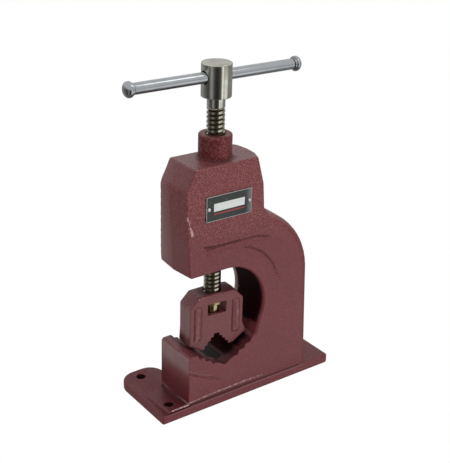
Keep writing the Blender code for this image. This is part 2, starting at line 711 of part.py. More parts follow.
def jawSide(side, flare):
    """One half of the jaw's outline, from the notch round the foot to the shoulder."""
    notchReach = JAW_NOTCH_HALF_WIDTH + JAW_TOOTH_RUN * JAW_TOOTH_COUNT
    rise = (JAW_NOTCH_TOP - JAW_FOOT_HEIGHT) / JAW_TOOTH_COUNT
    landEnd = notchReach + JAW_FOOT_LAND
    flareReach = JAW_HALF_WIDTH + flare
    footRise = (flareReach - landEnd) * JAW_FOOT_SLOPE_SHARE
    bulge = side * JAW_BULGE
    points = [EdgePoint(side * JAW_NOTCH_HALF_WIDTH, JAW_NOTCH_TOP, TOOTH_EDGE_ROUNDING)]
    for tooth in range(1, JAW_TOOTH_COUNT + 1):
        level = JAW_NOTCH_TOP - rise * tooth
        reach = JAW_NOTCH_HALF_WIDTH + JAW_TOOTH_RUN * tooth
        points.append(EdgePoint(side * (reach - JAW_TOOTH_RUN + TOOTH_TILT / 2), level + TOOTH_TILT / 2,
                                TOOTH_EDGE_ROUNDING))
        points.append(EdgePoint(side * reach, level, TOOTH_EDGE_ROUNDING))
    points += [
        EdgePoint(side * landEnd, JAW_FOOT_HEIGHT, JAW_EDGE_ROUNDING / 2),
        EdgePoint(side * flareReach, JAW_FOOT_HEIGHT + footRise, JAW_EDGE_ROUNDING, bulge, JAW_FLARE_RADIUS),
        EdgePoint(side * JAW_HALF_WIDTH, JAW_FOOT_HEIGHT + JAW_WAIST_RISE, JAW_EDGE_ROUNDING, bulge),
        EdgePoint(side * JAW_HALF_WIDTH, JAW_TOP - JAW_SHOULDER_DROP, JAW_EDGE_ROUNDING, bulge,
                  JAW_CORNER_RADIUS),
        EdgePoint(side * JAW_SHOULDER_REACH, JAW_TOP - JAW_CROWN, JAW_EDGE_ROUNDING, bulge,
                  JAW_CORNER_RADIUS),
    ]
    return points


def jawOutline():
    """Clockwise outline of the upper jaw, square to its own swivel."""
    left = jawSide(-1.0, JAW_FLARE_LEFT)
    right = jawSide(1.0, JAW_FLARE_RIGHT)
    crown = [EdgePoint(0.0, JAW_TOP, JAW_EDGE_ROUNDING)]
    return filletCorners(left + crown + right[::-1])


def ribMesh(name, centre, near):
    """Low rounded rib on the jaw's near face, arched at the top."""
    half = RIB_WIDTH / 2
    foot = JAW_FOOT_HEIGHT + RIB_FOOT_RISE
    top = JAW_TOP - RIB_TOP_DROP
    corners = [EdgePoint(centre + side * half, up, RIB_ROUNDING, radius=radius)
               for side, up, radius in ((-1.0, foot, 0.0), (-1.0, top, RIB_TOP_RADIUS),
                                        (1.0, top, RIB_TOP_RADIUS), (1.0, foot, 0.0))]
    return castingMesh(name, filletCorners(corners), near - RIB_PROUD, near + CUT_OVERRUN)


def jawSocketMesh():
    """Stepped bore for the end of the screw."""
    entry = SCREW_DIAMETER / 2 + SOCKET_CLEARANCE
    pilot = PILOT_DIAMETER / 2 + PILOT_CLEARANCE
    profile = [(pilot, WINDOW_BOTTOM - PILOT_TAIL - SOCKET_CLEARANCE * 2), (pilot, SOCKET_FLOOR),
               (entry, SOCKET_FLOOR), (entry, JAW_TOP + CUT_OVERRUN)]
    return turnedMesh("jaw_socket", profile, ROUND_SEGMENTS)


def buildJaw(enamel):
    near, far = -JAW_THICKNESS / 2, JAW_THICKNESS / 2
    jaw = addObject("upper_jaw", castingMesh("upper_jaw", jawOutline(), near, far), enamel)
    window = [(-WINDOW_WIDTH / 2, WINDOW_BOTTOM), (-WINDOW_WIDTH / 2, WINDOW_TOP),
              (WINDOW_WIDTH / 2, WINDOW_TOP), (WINDOW_WIDTH / 2, WINDOW_BOTTOM)]
    tools = [
        (ribMesh("rib_left", -RIB_CENTRE, near), "UNION"),
        (ribMesh("rib_right", RIB_CENTRE, near), "UNION"),
        (prismMesh("window_cut", window, near - CUT_OVERRUN, far + CUT_OVERRUN), "DIFFERENCE"),
        (jawSocketMesh(), "DIFFERENCE"),
    ]
    for mesh, operation in tools:
        tool = addTool(mesh.name, mesh)
        tool.parent = jaw
        combine(jaw, tool, operation)
    jaw.rotation_euler.z = JAW_YAW
    return jaw


def washerOutline():
    """C-shaped washer with its slot open to the far side."""
    radius = WASHER_DIAMETER / 2
    slot = GROOVE_DIAMETER / 2 + CLEARANCE
    start = math.acos(slot / radius)
    sweep = math.pi + 2.0 * start
    outer = [(radius * math.cos(start - sweep * step / WASHER_STEPS),
              radius * math.sin(start - sweep * step / WASHER_STEPS)) for step in range(WASHER_STEPS + 1)]
    inner = [(slot * math.cos(math.pi * (1.0 + step / SLOT_STEPS)),
              slot * math.sin(math.pi * (1.0 + step / SLOT_STEPS))) for step in range(SLOT_STEPS + 1)]
    return outer + inner


def buildWasher(metal):
    top = WINDOW_TOP - CLEARANCE
    mesh = prismMesh("retaining_washer", washerOutline(), top - WASHER_THICKNESS, top, "Z")
    return addObject("retaining_washer", mesh, metal)


def threadMesh(name, bottom, turns):
    """Trapezoidal right-hand thread; its ends run out to the root and close with flat rings."""
    crest = SCREW_DIAMETER / 2
    root = crest - THREAD_DEPTH
    rows = len(THREAD_FORM_SHARES)
    start = bottom + SCREW_PITCH * THREAD_LEAD_SHARE
    shape = bmesh.new()
    columns = []
    for segment in range(THREAD_SEGMENTS):
        angle = 2.0 * math.pi * segment / THREAD_SEGMENTS
        column = []
        for row in range(rows * turns + 1):
            turn = row // rows + THREAD_FORM_SHARES[row % rows] + segment / THREAD_SEGMENTS
            fade = min((turn - 1.0) / THREAD_RUN_OUT_SHARE,
                       (turns - THREAD_LEAD_SHARE - turn) / THREAD_RUN_OUT_SHARE)
            onCrest = row % rows >= rows // 2
            radius = root + (crest - root) * max(0.0, min(1.0, fade)) if onCrest else root
            column.append(shape.verts.new((radius * math.cos(angle), radius * math.sin(angle),
                                           start + SCREW_PITCH * turn)))
        columns.append(column)
    ends = []
    for level in (bottom, start + SCREW_PITCH * (turns + 1)):
        ends.append([shape.verts.new((root * math.cos(2.0 * math.pi * segment / THREAD_SEGMENTS),
                                      root * math.sin(2.0 * math.pi * segment / THREAD_SEGMENTS), level))
                     for segment in range(THREAD_SEGMENTS)])
    last = rows * turns
    for segment in range(THREAD_SEGMENTS - 1):
        here, there = columns[segment], columns[segment + 1]
        for row in range(last):
            shape.faces.new((here[row], there[row], there[row + 1], here[row + 1]))
        shape.faces.new((ends[0][segment], ends[0][segment + 1], there[0], here[0]))
        shape.faces.new((here[last], there[last], ends[1][segment + 1], ends[1][segment]))
    here, there = columns[-1], columns[0]
    for row in range(last - rows):
        shape.faces.new((here[row], there[row + rows], there[row + rows + 1], here[row + 1]))
    shape.faces.new([ends[0][-1], ends[0][0]] + there[0:rows + 1] + [here[0]])
    shape.faces.new([here[last - rows], there[last], ends[1][0], ends[1][-1]] + here[last:last - rows:-1])
    shape.faces.new(ends[0])
    shape.faces.new(ends[1])
    return meshFromBmesh(name, shape)


def buildSpindle(steel):
    """Screw, neck and hub turned from one bar, with a cross hole for the handle."""
    neck = SCREW_DIAMETER / 2
    hub = HUB_DIAMETER / 2
    hubTop = HUB_BOTTOM + HUB_HEIGHT
    headProfile = [(neck - THREAD_DEPTH, NECK_BOTTOM - SCREW_PITCH), (neck, NECK_BOTTOM),
                   (neck, HUB_BOTTOM), (hub - HUB_FOOT_CHAMFER, HUB_BOTTOM),
                   (hub, HUB_BOTTOM + HUB_FOOT_CHAMFER), (hub, hubTop - HUB_CHAMFER),
                   (hub - HUB_CHAMFER, hubTop)]
    spindle = addObject("spindle", turnedMesh("spindle", headProfile, ROUND_SEGMENTS), steel)

    collar = SCREW_DIAMETER / 2 - COLLAR_STEP
    pilot = PILOT_DIAMETER / 2
    pilotBottom = WINDOW_BOTTOM - PILOT_TAIL
    groove = GROOVE_DIAMETER / 2
    collarBottom = SOCKET_FLOOR + CLEARANCE
    collarTop = collarBottom + COLLAR_HEIGHT
    grooveBottom = WINDOW_TOP - WASHER_THICKNESS - CLEARANCE * 2
    pilotProfile = [(pilot - PILOT_CHAMFER, pilotBottom), (pilot, pilotBottom + PILOT_CHAMFER),
                    (pilot, grooveBottom), (groove, grooveBottom), (groove, WINDOW_TOP),
                    (pilot, WINDOW_TOP), (pilot, collarBottom), (collar, collarBottom),
                    (collar, collarTop), (groove, collarTop + CUT_OVERRUN)]
    turns = math.floor((NECK_BOTTOM - collarTop) / SCREW_PITCH)
    parts = (threadMesh("thread_body", collarTop - THREAD_DEPTH / 2, turns),
             turnedMesh("pilot_body", pilotProfile, ROUND_SEGMENTS))
    for mesh in parts:
        combine(spindle, addTool(mesh.name, mesh), "UNION")
    reach = hub + CUT_OVERRUN
    hole = BAR_DIAMETER / 2 + BAR_HOLE_CLEARANCE
    profile = [(hole, -reach), (hole, reach)]
    holeMesh = moveMesh(turnedMesh("bar_hole", profile, ROUND_SEGMENTS, "X"), (0.0, 0.0, BAR_HEIGHT))
    combine(spindle, addTool("bar_hole", holeMesh), "DIFFERENCE")
    return spindle


def buildBar(chrome):
    radius = BAR_DIAMETER / 2
    stub = radius - BAR_STUB_STEP
    end = BAR_HALF_LENGTH + BAR_STUB_LENGTH
    half = [(stub, BAR_HALF_LENGTH), (radius - BAR_CHAMFER, BAR_HALF_LENGTH),
            (radius, BAR_HALF_LENGTH - BAR_CHAMFER)]
    profile = [(stub, -end)] + [(size, -place) for size, place in half]
    profile += [(size, place) for size, place in half[::-1]] + [(stub, end)]
    bar = addObject("handle_bar", turnedMesh("handle_bar", profile, ROUND_SEGMENTS, "X"), chrome)
    bar.location.z = BAR_HEIGHT
    return bar


def buildCap(name, side, chrome):
    """Domed end cap with a collar, pressed over the bar's stub."""
    bar = BAR_DIAMETER / 2
    head = bar + CAP_MARGIN
    collar = bar + CAP_COLLAR_MARGIN
    socket = bar - BAR_STUB_STEP + CLEARANCE
    start = BAR_HALF_LENGTH + CLEARANCE
    socketEnd = start + BAR_STUB_LENGTH
    collarEnd = start + CAP_COLLAR_LENGTH
    straightEnd = collarEnd + CAP_LENGTH * CAP_STRAIGHT_SHARE
    dome = CAP_LENGTH * (1.0 - CAP_STRAIGHT_SHARE)
    outer = [(collar, start), (collar, collarEnd), (head - CAP_EDGE, collarEnd),
             (head, collarEnd + CAP_EDGE), (head, straightEnd)]
    for step in range(1, CAP_STEPS):
        angle = math.radians(90.0) * step / CAP_STEPS
        outer.append((head * math.cos(angle), straightEnd + dome * math.sin(angle)))
    outer.append((head * CAP_FLAT_SHARE, straightEnd + dome))
    cap = addObject(name, turnedMesh(name, [(size, side * place) for size, place in outer],
                                     ROUND_SEGMENTS, "X"), chrome)
    toolProfile = [(socket, side * (start - CUT_OVERRUN)), (socket, side * socketEnd)]
    tool = addTool(name + "_socket", turnedMesh(name + "_socket", toolProfile, SMALL_SEGMENTS, "X"))
    tool.parent = cap
    combine(cap, tool, "DIFFERENCE")
    cap.location.z = BAR_HEIGHT
    return cap


def buildNameplate(metal):
    half = PLATE_WIDTH / 2
    low, high = PLATE_CENTRE_HEIGHT - PLATE_HEIGHT / 2, PLATE_CENTRE_HEIGHT + PLATE_HEIGHT / 2
    corners = [EdgePoint(across, up, radius=PLATE_CORNER_RADIUS)
               for across, up in ((-half, low), (-half, high), (half, high), (half, low))]
    outline = [(point.across, point.up) for point in filletCorners(corners)]
    back = FRAME_NEAR_SIDE - CLEARANCE
    plate = addObject("nameplate", prismMesh("nameplate", outline, back - PLATE_THICKNESS, back), metal)
    for across, side in rivetPlaces():
        name = f"nameplate_hole_{side}"
        radius = RIVET_DIAMETER / 2 + CLEARANCE
        profile = [(radius, back - PLATE_THICKNESS - CUT_OVERRUN), (radius, back + CUT_OVERRUN)]
        tool = moveMesh(turnedMesh(name, profile, SMALL_SEGMENTS, "Y"), (across, 0.0, PLATE_CENTRE_HEIGHT))
        combine(plate, addTool(name, tool), "DIFFERENCE")
    return plate


def buildRivet(name, across, steel):
    shank = RIVET_DIAMETER / 2
    head = RIVET_HEAD_DIAMETER / 2
    seat = FRAME_NEAR_SIDE - CLEARANCE * 2 - PLATE_THICKNESS
    profile = [(shank, FRAME_NEAR_SIDE + RIVET_LENGTH - CLEARANCE), (shank, seat)]
    profile += [(head * wide, seat - RIVET_HEAD_HEIGHT * high) for wide, high in RIVET_HEAD_SHARES]
    rivet = addObject(name, turnedMesh(name, profile, SMALL_SEGMENTS, "Y"), steel)
    rivet.location = (across, 0.0, PLATE_CENTRE_HEIGHT)
    return rivet


def main():
    clearScene()
    enamel = makeMaterial("maroon enamel", (0.160, 0.040, 0.050), 0.38, 0.0)
    steel = makeMaterial("brushed steel", (0.520, 0.500, 0.470), 0.32, 1.0)
    chrome = makeMaterial("chrome", (0.720, 0.730, 0.750), 0.10, 1.0)
    yellowZinc = makeMaterial("yellow zinc", (0.560, 0.460, 0.240), 0.35, 1.0)
    plateMetal = makeMaterial("plate", (0.060, 0.075, 0.070), 0.35, 0.6)
    buildFrame(enamel)
    buildJaw(enamel)
    buildWasher(yellowZinc)
    buildSpindle(steel)
    buildBar(chrome)
    buildCap("handle_cap_left", -1.0, chrome)
    buildCap("handle_cap_right", 1.0, chrome)
    buildNameplate(plateMetal)
    for across, side in rivetPlaces():
        buildRivet(f"nameplate_rivet_{side}", across, steel)


main()
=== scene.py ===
import math
import bpy
import bmesh
import numpy as np
from mathutils import Matrix, Vector


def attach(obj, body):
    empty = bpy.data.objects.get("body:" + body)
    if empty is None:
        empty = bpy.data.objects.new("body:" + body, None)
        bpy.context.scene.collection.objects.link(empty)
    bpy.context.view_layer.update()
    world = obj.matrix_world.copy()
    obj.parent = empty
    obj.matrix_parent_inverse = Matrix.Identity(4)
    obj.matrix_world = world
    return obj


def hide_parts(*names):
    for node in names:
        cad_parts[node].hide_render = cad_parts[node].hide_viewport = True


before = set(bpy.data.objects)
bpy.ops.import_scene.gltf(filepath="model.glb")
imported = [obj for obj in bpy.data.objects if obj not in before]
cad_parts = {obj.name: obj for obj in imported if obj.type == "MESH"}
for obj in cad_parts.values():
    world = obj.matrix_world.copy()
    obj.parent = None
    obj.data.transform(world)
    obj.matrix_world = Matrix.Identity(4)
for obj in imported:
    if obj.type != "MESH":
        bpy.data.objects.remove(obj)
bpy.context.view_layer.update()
scene = bpy.context.scene


def newObject(name, data):
    made = bpy.data.objects.new(name, data)
    scene.collection.objects.link(made)
    return made


# camera at the photograph's angle

cameraSettings = {
    "place": (-0.4594, -0.6356, 0.5148),
    "yaw": math.radians(36.63),
    "pitch": math.radians(23.72),
    "roll": math.radians(-1.558),
    "focalPixels": 950.60,
    "imageHeight": 463,
    "filmHeight": 36.0,
    "nearest": 0.01,
}


def makeCamera(settings):
    yaw, pitch, roll = settings["yaw"], settings["pitch"], settings["roll"]
    ahead = Vector((math.sin(yaw) * math.cos(pitch), math.cos(yaw) * math.cos(pitch), -math.sin(pitch)))
    level = Vector((math.cos(yaw), -math.sin(yaw), 0.0))
    below = ahead.cross(level)
    right = level * math.cos(roll) + below * math.sin(roll)
    down = below * math.cos(roll) - level * math.sin(roll)
    lens = bpy.data.cameras.new("photoCamera")
    lens.sensor_fit = "VERTICAL"
    lens.sensor_height = settings["filmHeight"]
    lens.lens = settings["focalPixels"] * settings["filmHeight"] / settings["imageHeight"]
    lens.clip_start = settings["nearest"]
    camera = newObject("photoCamera", lens)
    turn = Matrix((right, -down, -ahead)).transposed().to_4x4()
    camera.matrix_world = Matrix.Translation(settings["place"]) @ turn
    scene.camera = camera


makeCamera(cameraSettings)
print("camera placed")


# small helpers for node trees

# links a value that is a socket, and sets any other
def feed(tree, socket, value):
    if isinstance(value, bpy.types.NodeSocket):
        tree.links.new(value, socket)
    elif value is not None:
        socket.default_value = value


# a new node, its sockets fed by name or number
def addNode(tree, kind, sockets=None, **settings):
    node = tree.nodes.new(kind)
    for key, value in settings.items():
        setattr(node, key, value)
    for key, value in (sockets or {}).items():
        feed(tree, node.inputs[key], value)
    return node


def calc(tree, operation, *values, clamp=False):
    sockets = dict(enumerate(values))
    return addNode(tree, "ShaderNodeMath", sockets, operation=operation, use_clamp=clamp).outputs[0]


def plus(tree, first, second):
    return calc(tree, "ADD", first, second)


def minus(tree, first, second):
    return calc(tree, "SUBTRACT", first, second)


def inverse(tree, value):
    return minus(tree, 1.0, value)


def times(tree, first, *others):
    for other in others:
        first = calc(tree, "MULTIPLY", first, other)
    return first


def strongest(tree, first, *others):
    for other in others:
        first = calc(tree, "MAXIMUM", first, other)
    return first


def vectorCalc(tree, operation, first, second):
    factor = "Scale" if operation == "SCALE" else 1
    outputs = addNode(tree, "ShaderNodeVectorMath", {0: first, factor: second}, operation=operation).outputs
    return outputs["Value" if operation in ("DOT_PRODUCT", "DISTANCE") else "Vector"]


def partsOf(tree, value):
    return addNode(tree, "ShaderNodeSeparateXYZ", {0: value}).outputs


# 0 to 1 between low and high, or between the two given results
def ramp(tree, value, low, high, fromLow=0.0, toHigh=1.0):
    sockets = dict(enumerate((value, low, high, fromLow, toHigh)))
    return addNode(tree, "ShaderNodeMapRange", sockets, interpolation_type="SMOOTHSTEP").outputs[0]


def blendColours(tree, share, first, second):
    sockets = {0: share, 6: first, 7: second}  # the mix node's factor and its two colours
    return addNode(tree, "ShaderNodeMix", sockets, data_type="RGBA", clamp_factor=True).outputs[2]


def blendValues(tree, share, first, second):
    return addNode(tree, "ShaderNodeMix", {0: share, 2: first, 3: second}, clamp_factor=True).outputs[0]


def objectPlace(tree):
    return addNode(tree, "ShaderNodeTexCoord").outputs["Object"]


def attribute(tree, name):
    return addNode(tree, "ShaderNodeAttribute", attribute_name=name).outputs["Fac"]


def noiseAt(tree, place, scale, detail=3.0, roughness=0.55):
    sockets = {"Vector": place, "Scale": scale, "Detail": detail, "Roughness": roughness}
    return addNode(tree, "ShaderNodeTexNoise", sockets).outputs[0]


# 0 to 1 patches of a noise
def patches(tree, place, scale, detail, roughness, low, high):
    return ramp(tree, noiseAt(tree, place, scale, detail, roughness), low, high)


# a node group whose inputs are numbers, or vectors where the given value is none or a triple
def startGroup(name, inputs, *outputs):
    tree = bpy.data.node_groups.new(name, "ShaderNodeTree")
    for label, value in inputs.items():
        kind = "NodeSocketFloat" if isinstance(value, float) else "NodeSocketVector"
        socket = tree.interface.new_socket(name=label, in_out="INPUT", socket_type=kind)
        if value is not None:
            socket.default_value = value
    for label in outputs:
        tree.interface.new_socket(name=label, in_out="OUTPUT", socket_type="NodeSocketFloat")
    return tree, addNode(tree, "NodeGroupInput").outputs, addNode(tree, "NodeGroupOutput").inputs


def useGroup(tree, group, **values):
    node = addNode(tree, "ShaderNodeGroup", node_tree=group)
    for socket in node.inputs:
        key = socket.name[0].lower() + socket.name[1:]
        if key in values:
            feed(tree, socket, values[key])
    return node.outputs


# effects that several materials share; patches are (scale, detail, roughness, low, high)

hammeredSizes = {"wanderScale": 300.0, "wander": 0.0008, "dimple": (0.10, 0.62), "broad": (95.0, 2.0),
                 "chosen": (0.15, 0.95, 0.15), "fine": (900.0, 2.0, 0.6, 0.46, 0.66), "fineShare": 0.45}


# a skin of small dimples whose rims carry paler flecks
def makeHammered(size):
    tree, inputs, outputs = startGroup(
        "hammeredPaint", {"Place": None, "Cells": 420.0, "Ripple": 0.35}, "Height", "Fleck")
    place = inputs["Place"]
    wander = addNode(tree, "ShaderNodeTexNoise", {"Vector": place, "Scale": size["wanderScale"]})
    moved = vectorCalc(tree, "ADD", place, vectorCalc(tree, "SCALE", wander.outputs["Color"], size["wander"]))
    cells = addNode(tree, "ShaderNodeTexVoronoi", {"Vector": moved, "Scale": inputs["Cells"]}).outputs
    dimple = ramp(tree, cells["Distance"], *size["dimple"])
    broad = noiseAt(tree, place, *size["broad"])
    pick = addNode(tree, "ShaderNodeSeparateColor", {0: cells["Color"]}).outputs[0]
    bright = times(tree, ramp(tree, pick, *size["chosen"]), inverse(tree, dimple))
    fine = patches(tree, place, *size["fine"])
    feed(tree, outputs["Height"], calc(tree, "MULTIPLY_ADD", broad, inputs["Ripple"], dimple))
    feed(tree, outputs["Fleck"], calc(tree, "MULTIPLY_ADD", fine, size["fineShare"], bright, clamp=True))
    return tree


wearSizes = {"coarse": (5.0, 0.72), "rubbedShare": 0.9, "start": -0.62, "edgeShare": 0.40,
             "worn": (0.50, 0.60), "rim": (0.36, 0.56)}


# bare patches along edges and where something rubs, painted highlight lines given as strokes, and a wider rim
# round them
def makeEdgeWear(size):
    tree, inputs, outputs = startGroup(
        "edgeWear", {"Place": None, "Edge": 0.0, "Rubbing": 0.0, "Grain": 480.0}, "Worn", "Rim")
    coarse = noiseAt(tree, inputs["Place"], inputs["Grain"], *size["coarse"])
    reach = calc(tree, "MULTIPLY_ADD", inputs["Rubbing"], size["rubbedShare"], size["start"])
    signal = calc(tree, "MULTIPLY_ADD", inputs["Edge"], size["edgeShare"], reach)
    total = plus(tree, signal, coarse)
    feed(tree, outputs["Worn"], ramp(tree, total, *size["worn"]))
    feed(tree, outputs["Rim"], ramp(tree, total, *size["rim"]))
    return tree


dustSizes = {"upward": (0.35, 1.0), "patch": (120.0, 5.0, 0.6, 0.35, 0.75)}


# dust on faces that look up, partly standing in for their sheen, and the painted sheen that the Hollow input
# brings
def makeDust(size):
    tree, inputs, outputs = startGroup("settledDust", {"Place": None, "Amount": 0.3, "Hollow": 0.0}, "Dust")
    facing = partsOf(tree, addNode(tree, "ShaderNodeNewGeometry").outputs["Normal"])["Z"]
    patch = patches(tree, inputs["Place"], *size["patch"])
    settled = times(tree, ramp(tree, facing, *size["upward"]), patch, inputs["Amount"])
    feed(tree, outputs["Dust"], calc(tree, "MAXIMUM", settled, inputs["Hollow"], clamp=True))
    return tree


turningSizes = {"rings": (3.0, 0.6), "smear": (130.0, 4.0, 0.55, 0.3, 0.7)}


# fine rings left by the lathe, with duller smears over them
def makeTurning(size):
    tree, inputs, outputs = startGroup(
        "turningMarks", {"Place": None, "Stretch": (1.0, 1.0, 30.0), "Fineness": 90.0}, "Height", "Smear")
    stretched = vectorCalc(tree, "MULTIPLY", inputs["Place"], inputs["Stretch"])
    feed(tree, outputs["Height"], noiseAt(tree, stretched, inputs["Fineness"], *size["rings"]))
    feed(tree, outputs["Smear"], patches(tree, inputs["Place"], *size["smear"]))
    return tree


strokeShares = {"solid": 0.35, "faded": 1.5}


# 0 to 1, how near a place lies to a straight line
def makeStroke(share):
    tree, inputs, outputs = startGroup(
        "strokeMark", {"Place": None, "Start": None, "End": None, "Reach": 0.001, "Strength": 1.0}, "Mark")
    along = vectorCalc(tree, "SUBTRACT", inputs["End"], inputs["Start"])
    offset = vectorCalc(tree, "SUBTRACT", inputs["Place"], inputs["Start"])
    foot = calc(tree, "DIVIDE", vectorCalc(tree, "DOT_PRODUCT", offset, along),
                vectorCalc(tree, "DOT_PRODUCT", along, along), clamp=True)
    gap = vectorCalc(tree, "DISTANCE", offset, vectorCalc(tree, "SCALE", along, foot))
    solid, faded = (times(tree, inputs["Reach"], share[kind]) for kind in ("solid", "faded"))
    close = ramp(tree, gap, solid, faded, 1.0, 0.0)
    feed(tree, outputs["Mark"], times(tree, close, inputs["Strength"]))
    return tree


hammeredPaint = makeHammered(hammeredSizes)
edgeWear = makeEdgeWear(wearSizes)
settledDust = makeDust(dustSizes)
turningMarks = makeTurning(turningSizes)
strokeMark = makeStroke(strokeShares)


# the strongest of several marks, each a (path, reach, strength)
def strokes(tree, place, marks):
    made = []
    for path, reach, strength in marks:
        for start, end in zip(path, path[1:]):
            made.append(useGroup(tree, strokeMark, place=place, start=start, end=end, reach=reach,
                                 strength=strength)["Mark"])
    return strongest(tree, *made)


def startMaterial(name, **sockets):
    material = bpy.data.materials.new(name)
    material.use_nodes = True
    tree = material.node_tree
    shader = tree.nodes["Principled BSDF"]
    for label, value in sockets.items():
        shader.inputs[label.replace("_", " ")].default_value = value
    return material, tree, shader


def addBump(tree, shader, height, strength, distance):
    bump = addNode(tree, "ShaderNodeBump", {"Strength": strength, "Distance": distance, "Height": height})
    feed(tree, shader.inputs["Normal"], bump.outputs[0])


enamelLook = {
    "face": (0.124, 0.0142, 0.0208, 1.0),
    "deep": (0.088, 0.0085, 0.012, 1.0),
    "crimson": (0.094, 0.0022, 0.0090, 1.0),
    "fleck": (0.370, 0.132, 0.120, 1.0),
    "chip": (0.46, 0.30, 0.29, 1.0),
    "iron": (0.019, 0.0145, 0.0115, 1.0),
    "rust": (0.008, 0.0052, 0.0040, 1.0),
    "shade": (0.0190, 0.0005, 0.0018, 1.0),
    "hollow": (0.040, 0.0038, 0.0055, 1.0),
    "dust": (0.29, 0.190, 0.190, 1.0),
    "ochre": (0.19, 0.095, 0.052, 1.0),
    "cells": 980.0, "relief": 0.75, "reliefDepth": 0.00018,
    "coat": 0.24, "coatLost": 0.8,  # gloss, and the share of it lost where the crimson painted shade lies
    "grainHeights": (0.150, 0.195), "grainShares": (0.30, 1.0),  # flecks grow stronger up the frame
    "lowHeights": (0.008, 0.030), "lowShare": 0.22,  # dust and gloss near the bench
    "cloud": (34.0, 4.0, 0.6, 0.3, 0.7), "cloudShare": 0.35, "calmFleck": 0.17, "rimShare": 0.6,
    "broken": (340.0, 4.0, 0.65, 0.40, 0.62), "raggedScale": 300.0, "ragged": 0.5, "bareEdge": (0.4, 0.6),
    "rustPatch": (160.0, 5.0, 0.65, 0.35, 0.7), "rustRelief": 0.4, "wornRelief": 0.8,
    "bareMetal": 0.4, "thickMetal": 0.42,
    "plainRough": 0.44, "fleckRough": 0.36, "rubbedRough": 0.6, "bareRough": 0.62, "shadedRough": 0.85,
}

# marks as (path, reach, strength): worn paint with some painted highlights, ochre with a painted highlight,
# painted shade and reflection lines, and painted highlight lines; corners are (across, up) on the near face,
# or (across, deep, up)
frameFace = -0.0222
frameMarks = {
    "worn": (
        (((-0.0440, 0.2012), (-0.0413, 0.1966)), 0.0013, 0.72),
        (((-0.0413, 0.1966), (-0.0400, 0.1910)), 0.0014, 0.74),
        (((-0.0398, 0.1900), (-0.0378, 0.1832)), 0.0019, 0.88),
        (((-0.0575, 0.0118), (-0.0400, 0.0122)), 0.0011, 0.78),
        (((-0.0390, 0.0132), (-0.0134, 0.0145), (0.0194, 0.0151)), 0.0011, 0.72),
        (((0.0194, 0.0152), (0.0340, 0.0147), (0.0462, 0.0145)), 0.0014, 0.70),
        (((0.0462, 0.0145), (0.0626, 0.0132), (0.0935, 0.0110)), 0.0008, 0.60),
        # painted highlight under the relief's groove
        (((-0.0245, 0.1664), (-0.0137, 0.1648), (-0.0061, 0.1640), (0.0060, 0.1638)), 0.0008, 0.66),
        # painted highlight along the shoulder's outer edge
        (((0.0491, 0.1780), (0.0593, 0.1706), (0.0730, 0.1598)), 0.0009, 0.42),
        # worn flecks and a painted highlight along the top near edge
        (((-0.0351, 0.2418), (0.0300, 0.2422)), 0.0010, 0.36),
    ),
    "ochre": (
        # a painted highlight under the relief's groove, tinted ochre
        (((-0.0240, 0.1655), (0.0060, 0.1635)), 0.0012, 0.35),
    ),
    "grime": (
        # painted shade along the ledge where the frame meets the base
        (((-0.0540, 0.0106), (0.0200, 0.0106)), 0.0018, 0.88),
        (((0.0200, 0.0108), (0.0950, 0.0100)), 0.0012, 0.80),
        # painted shade in the relief's groove lines
        (((-0.0252, 0.1686), (-0.0138, 0.1670), (0.0135, 0.1668)), 0.0009, 0.85),
        (((0.0135, 0.1668), (0.0327, 0.1666), (0.0479, 0.1634)), 0.0006, 0.48),
        (((0.0234, 0.1588), (0.0393, 0.1500), (0.0492, 0.1394), (0.0594, 0.1190)), 0.0006, 0.55),
        # painted shade under the lower V's left teeth
        (((-0.0390, 0.0455), (-0.0276, 0.0409), (-0.0161, 0.0342), (-0.0046, 0.0272)), 0.0006, 0.62),
        # painted dark reflection of the boss on the housing's top
        (((-0.0170, 0.0030, 0.2420), (-0.0120, -0.0115, 0.2420), (0.0030, -0.0172, 0.2420),
          (0.0140, -0.0110, 0.2420)), 0.0022, 0.55),
    ),
    "pale": (
        # painted highlights: the fillet at the post's foot, the pad's edge, the V's left edge and the base's
        # near top edge
        (((-0.0404, -0.0215, 0.0130), (-0.0404, 0.0230, 0.0130)), 0.0007, 0.80),
        (((-0.0570, 0.0122), (-0.0180, 0.0146), (0.0350, 0.0150)), 0.0008, 0.40),
        (((-0.0390, 0.0463), (-0.0161, 0.0350)), 0.0005, 0.30),
        (((-0.0660, -0.0225, 0.0084), (0.1200, -0.0225, 0.0084)), 0.0006, 0.34),
    ),
}


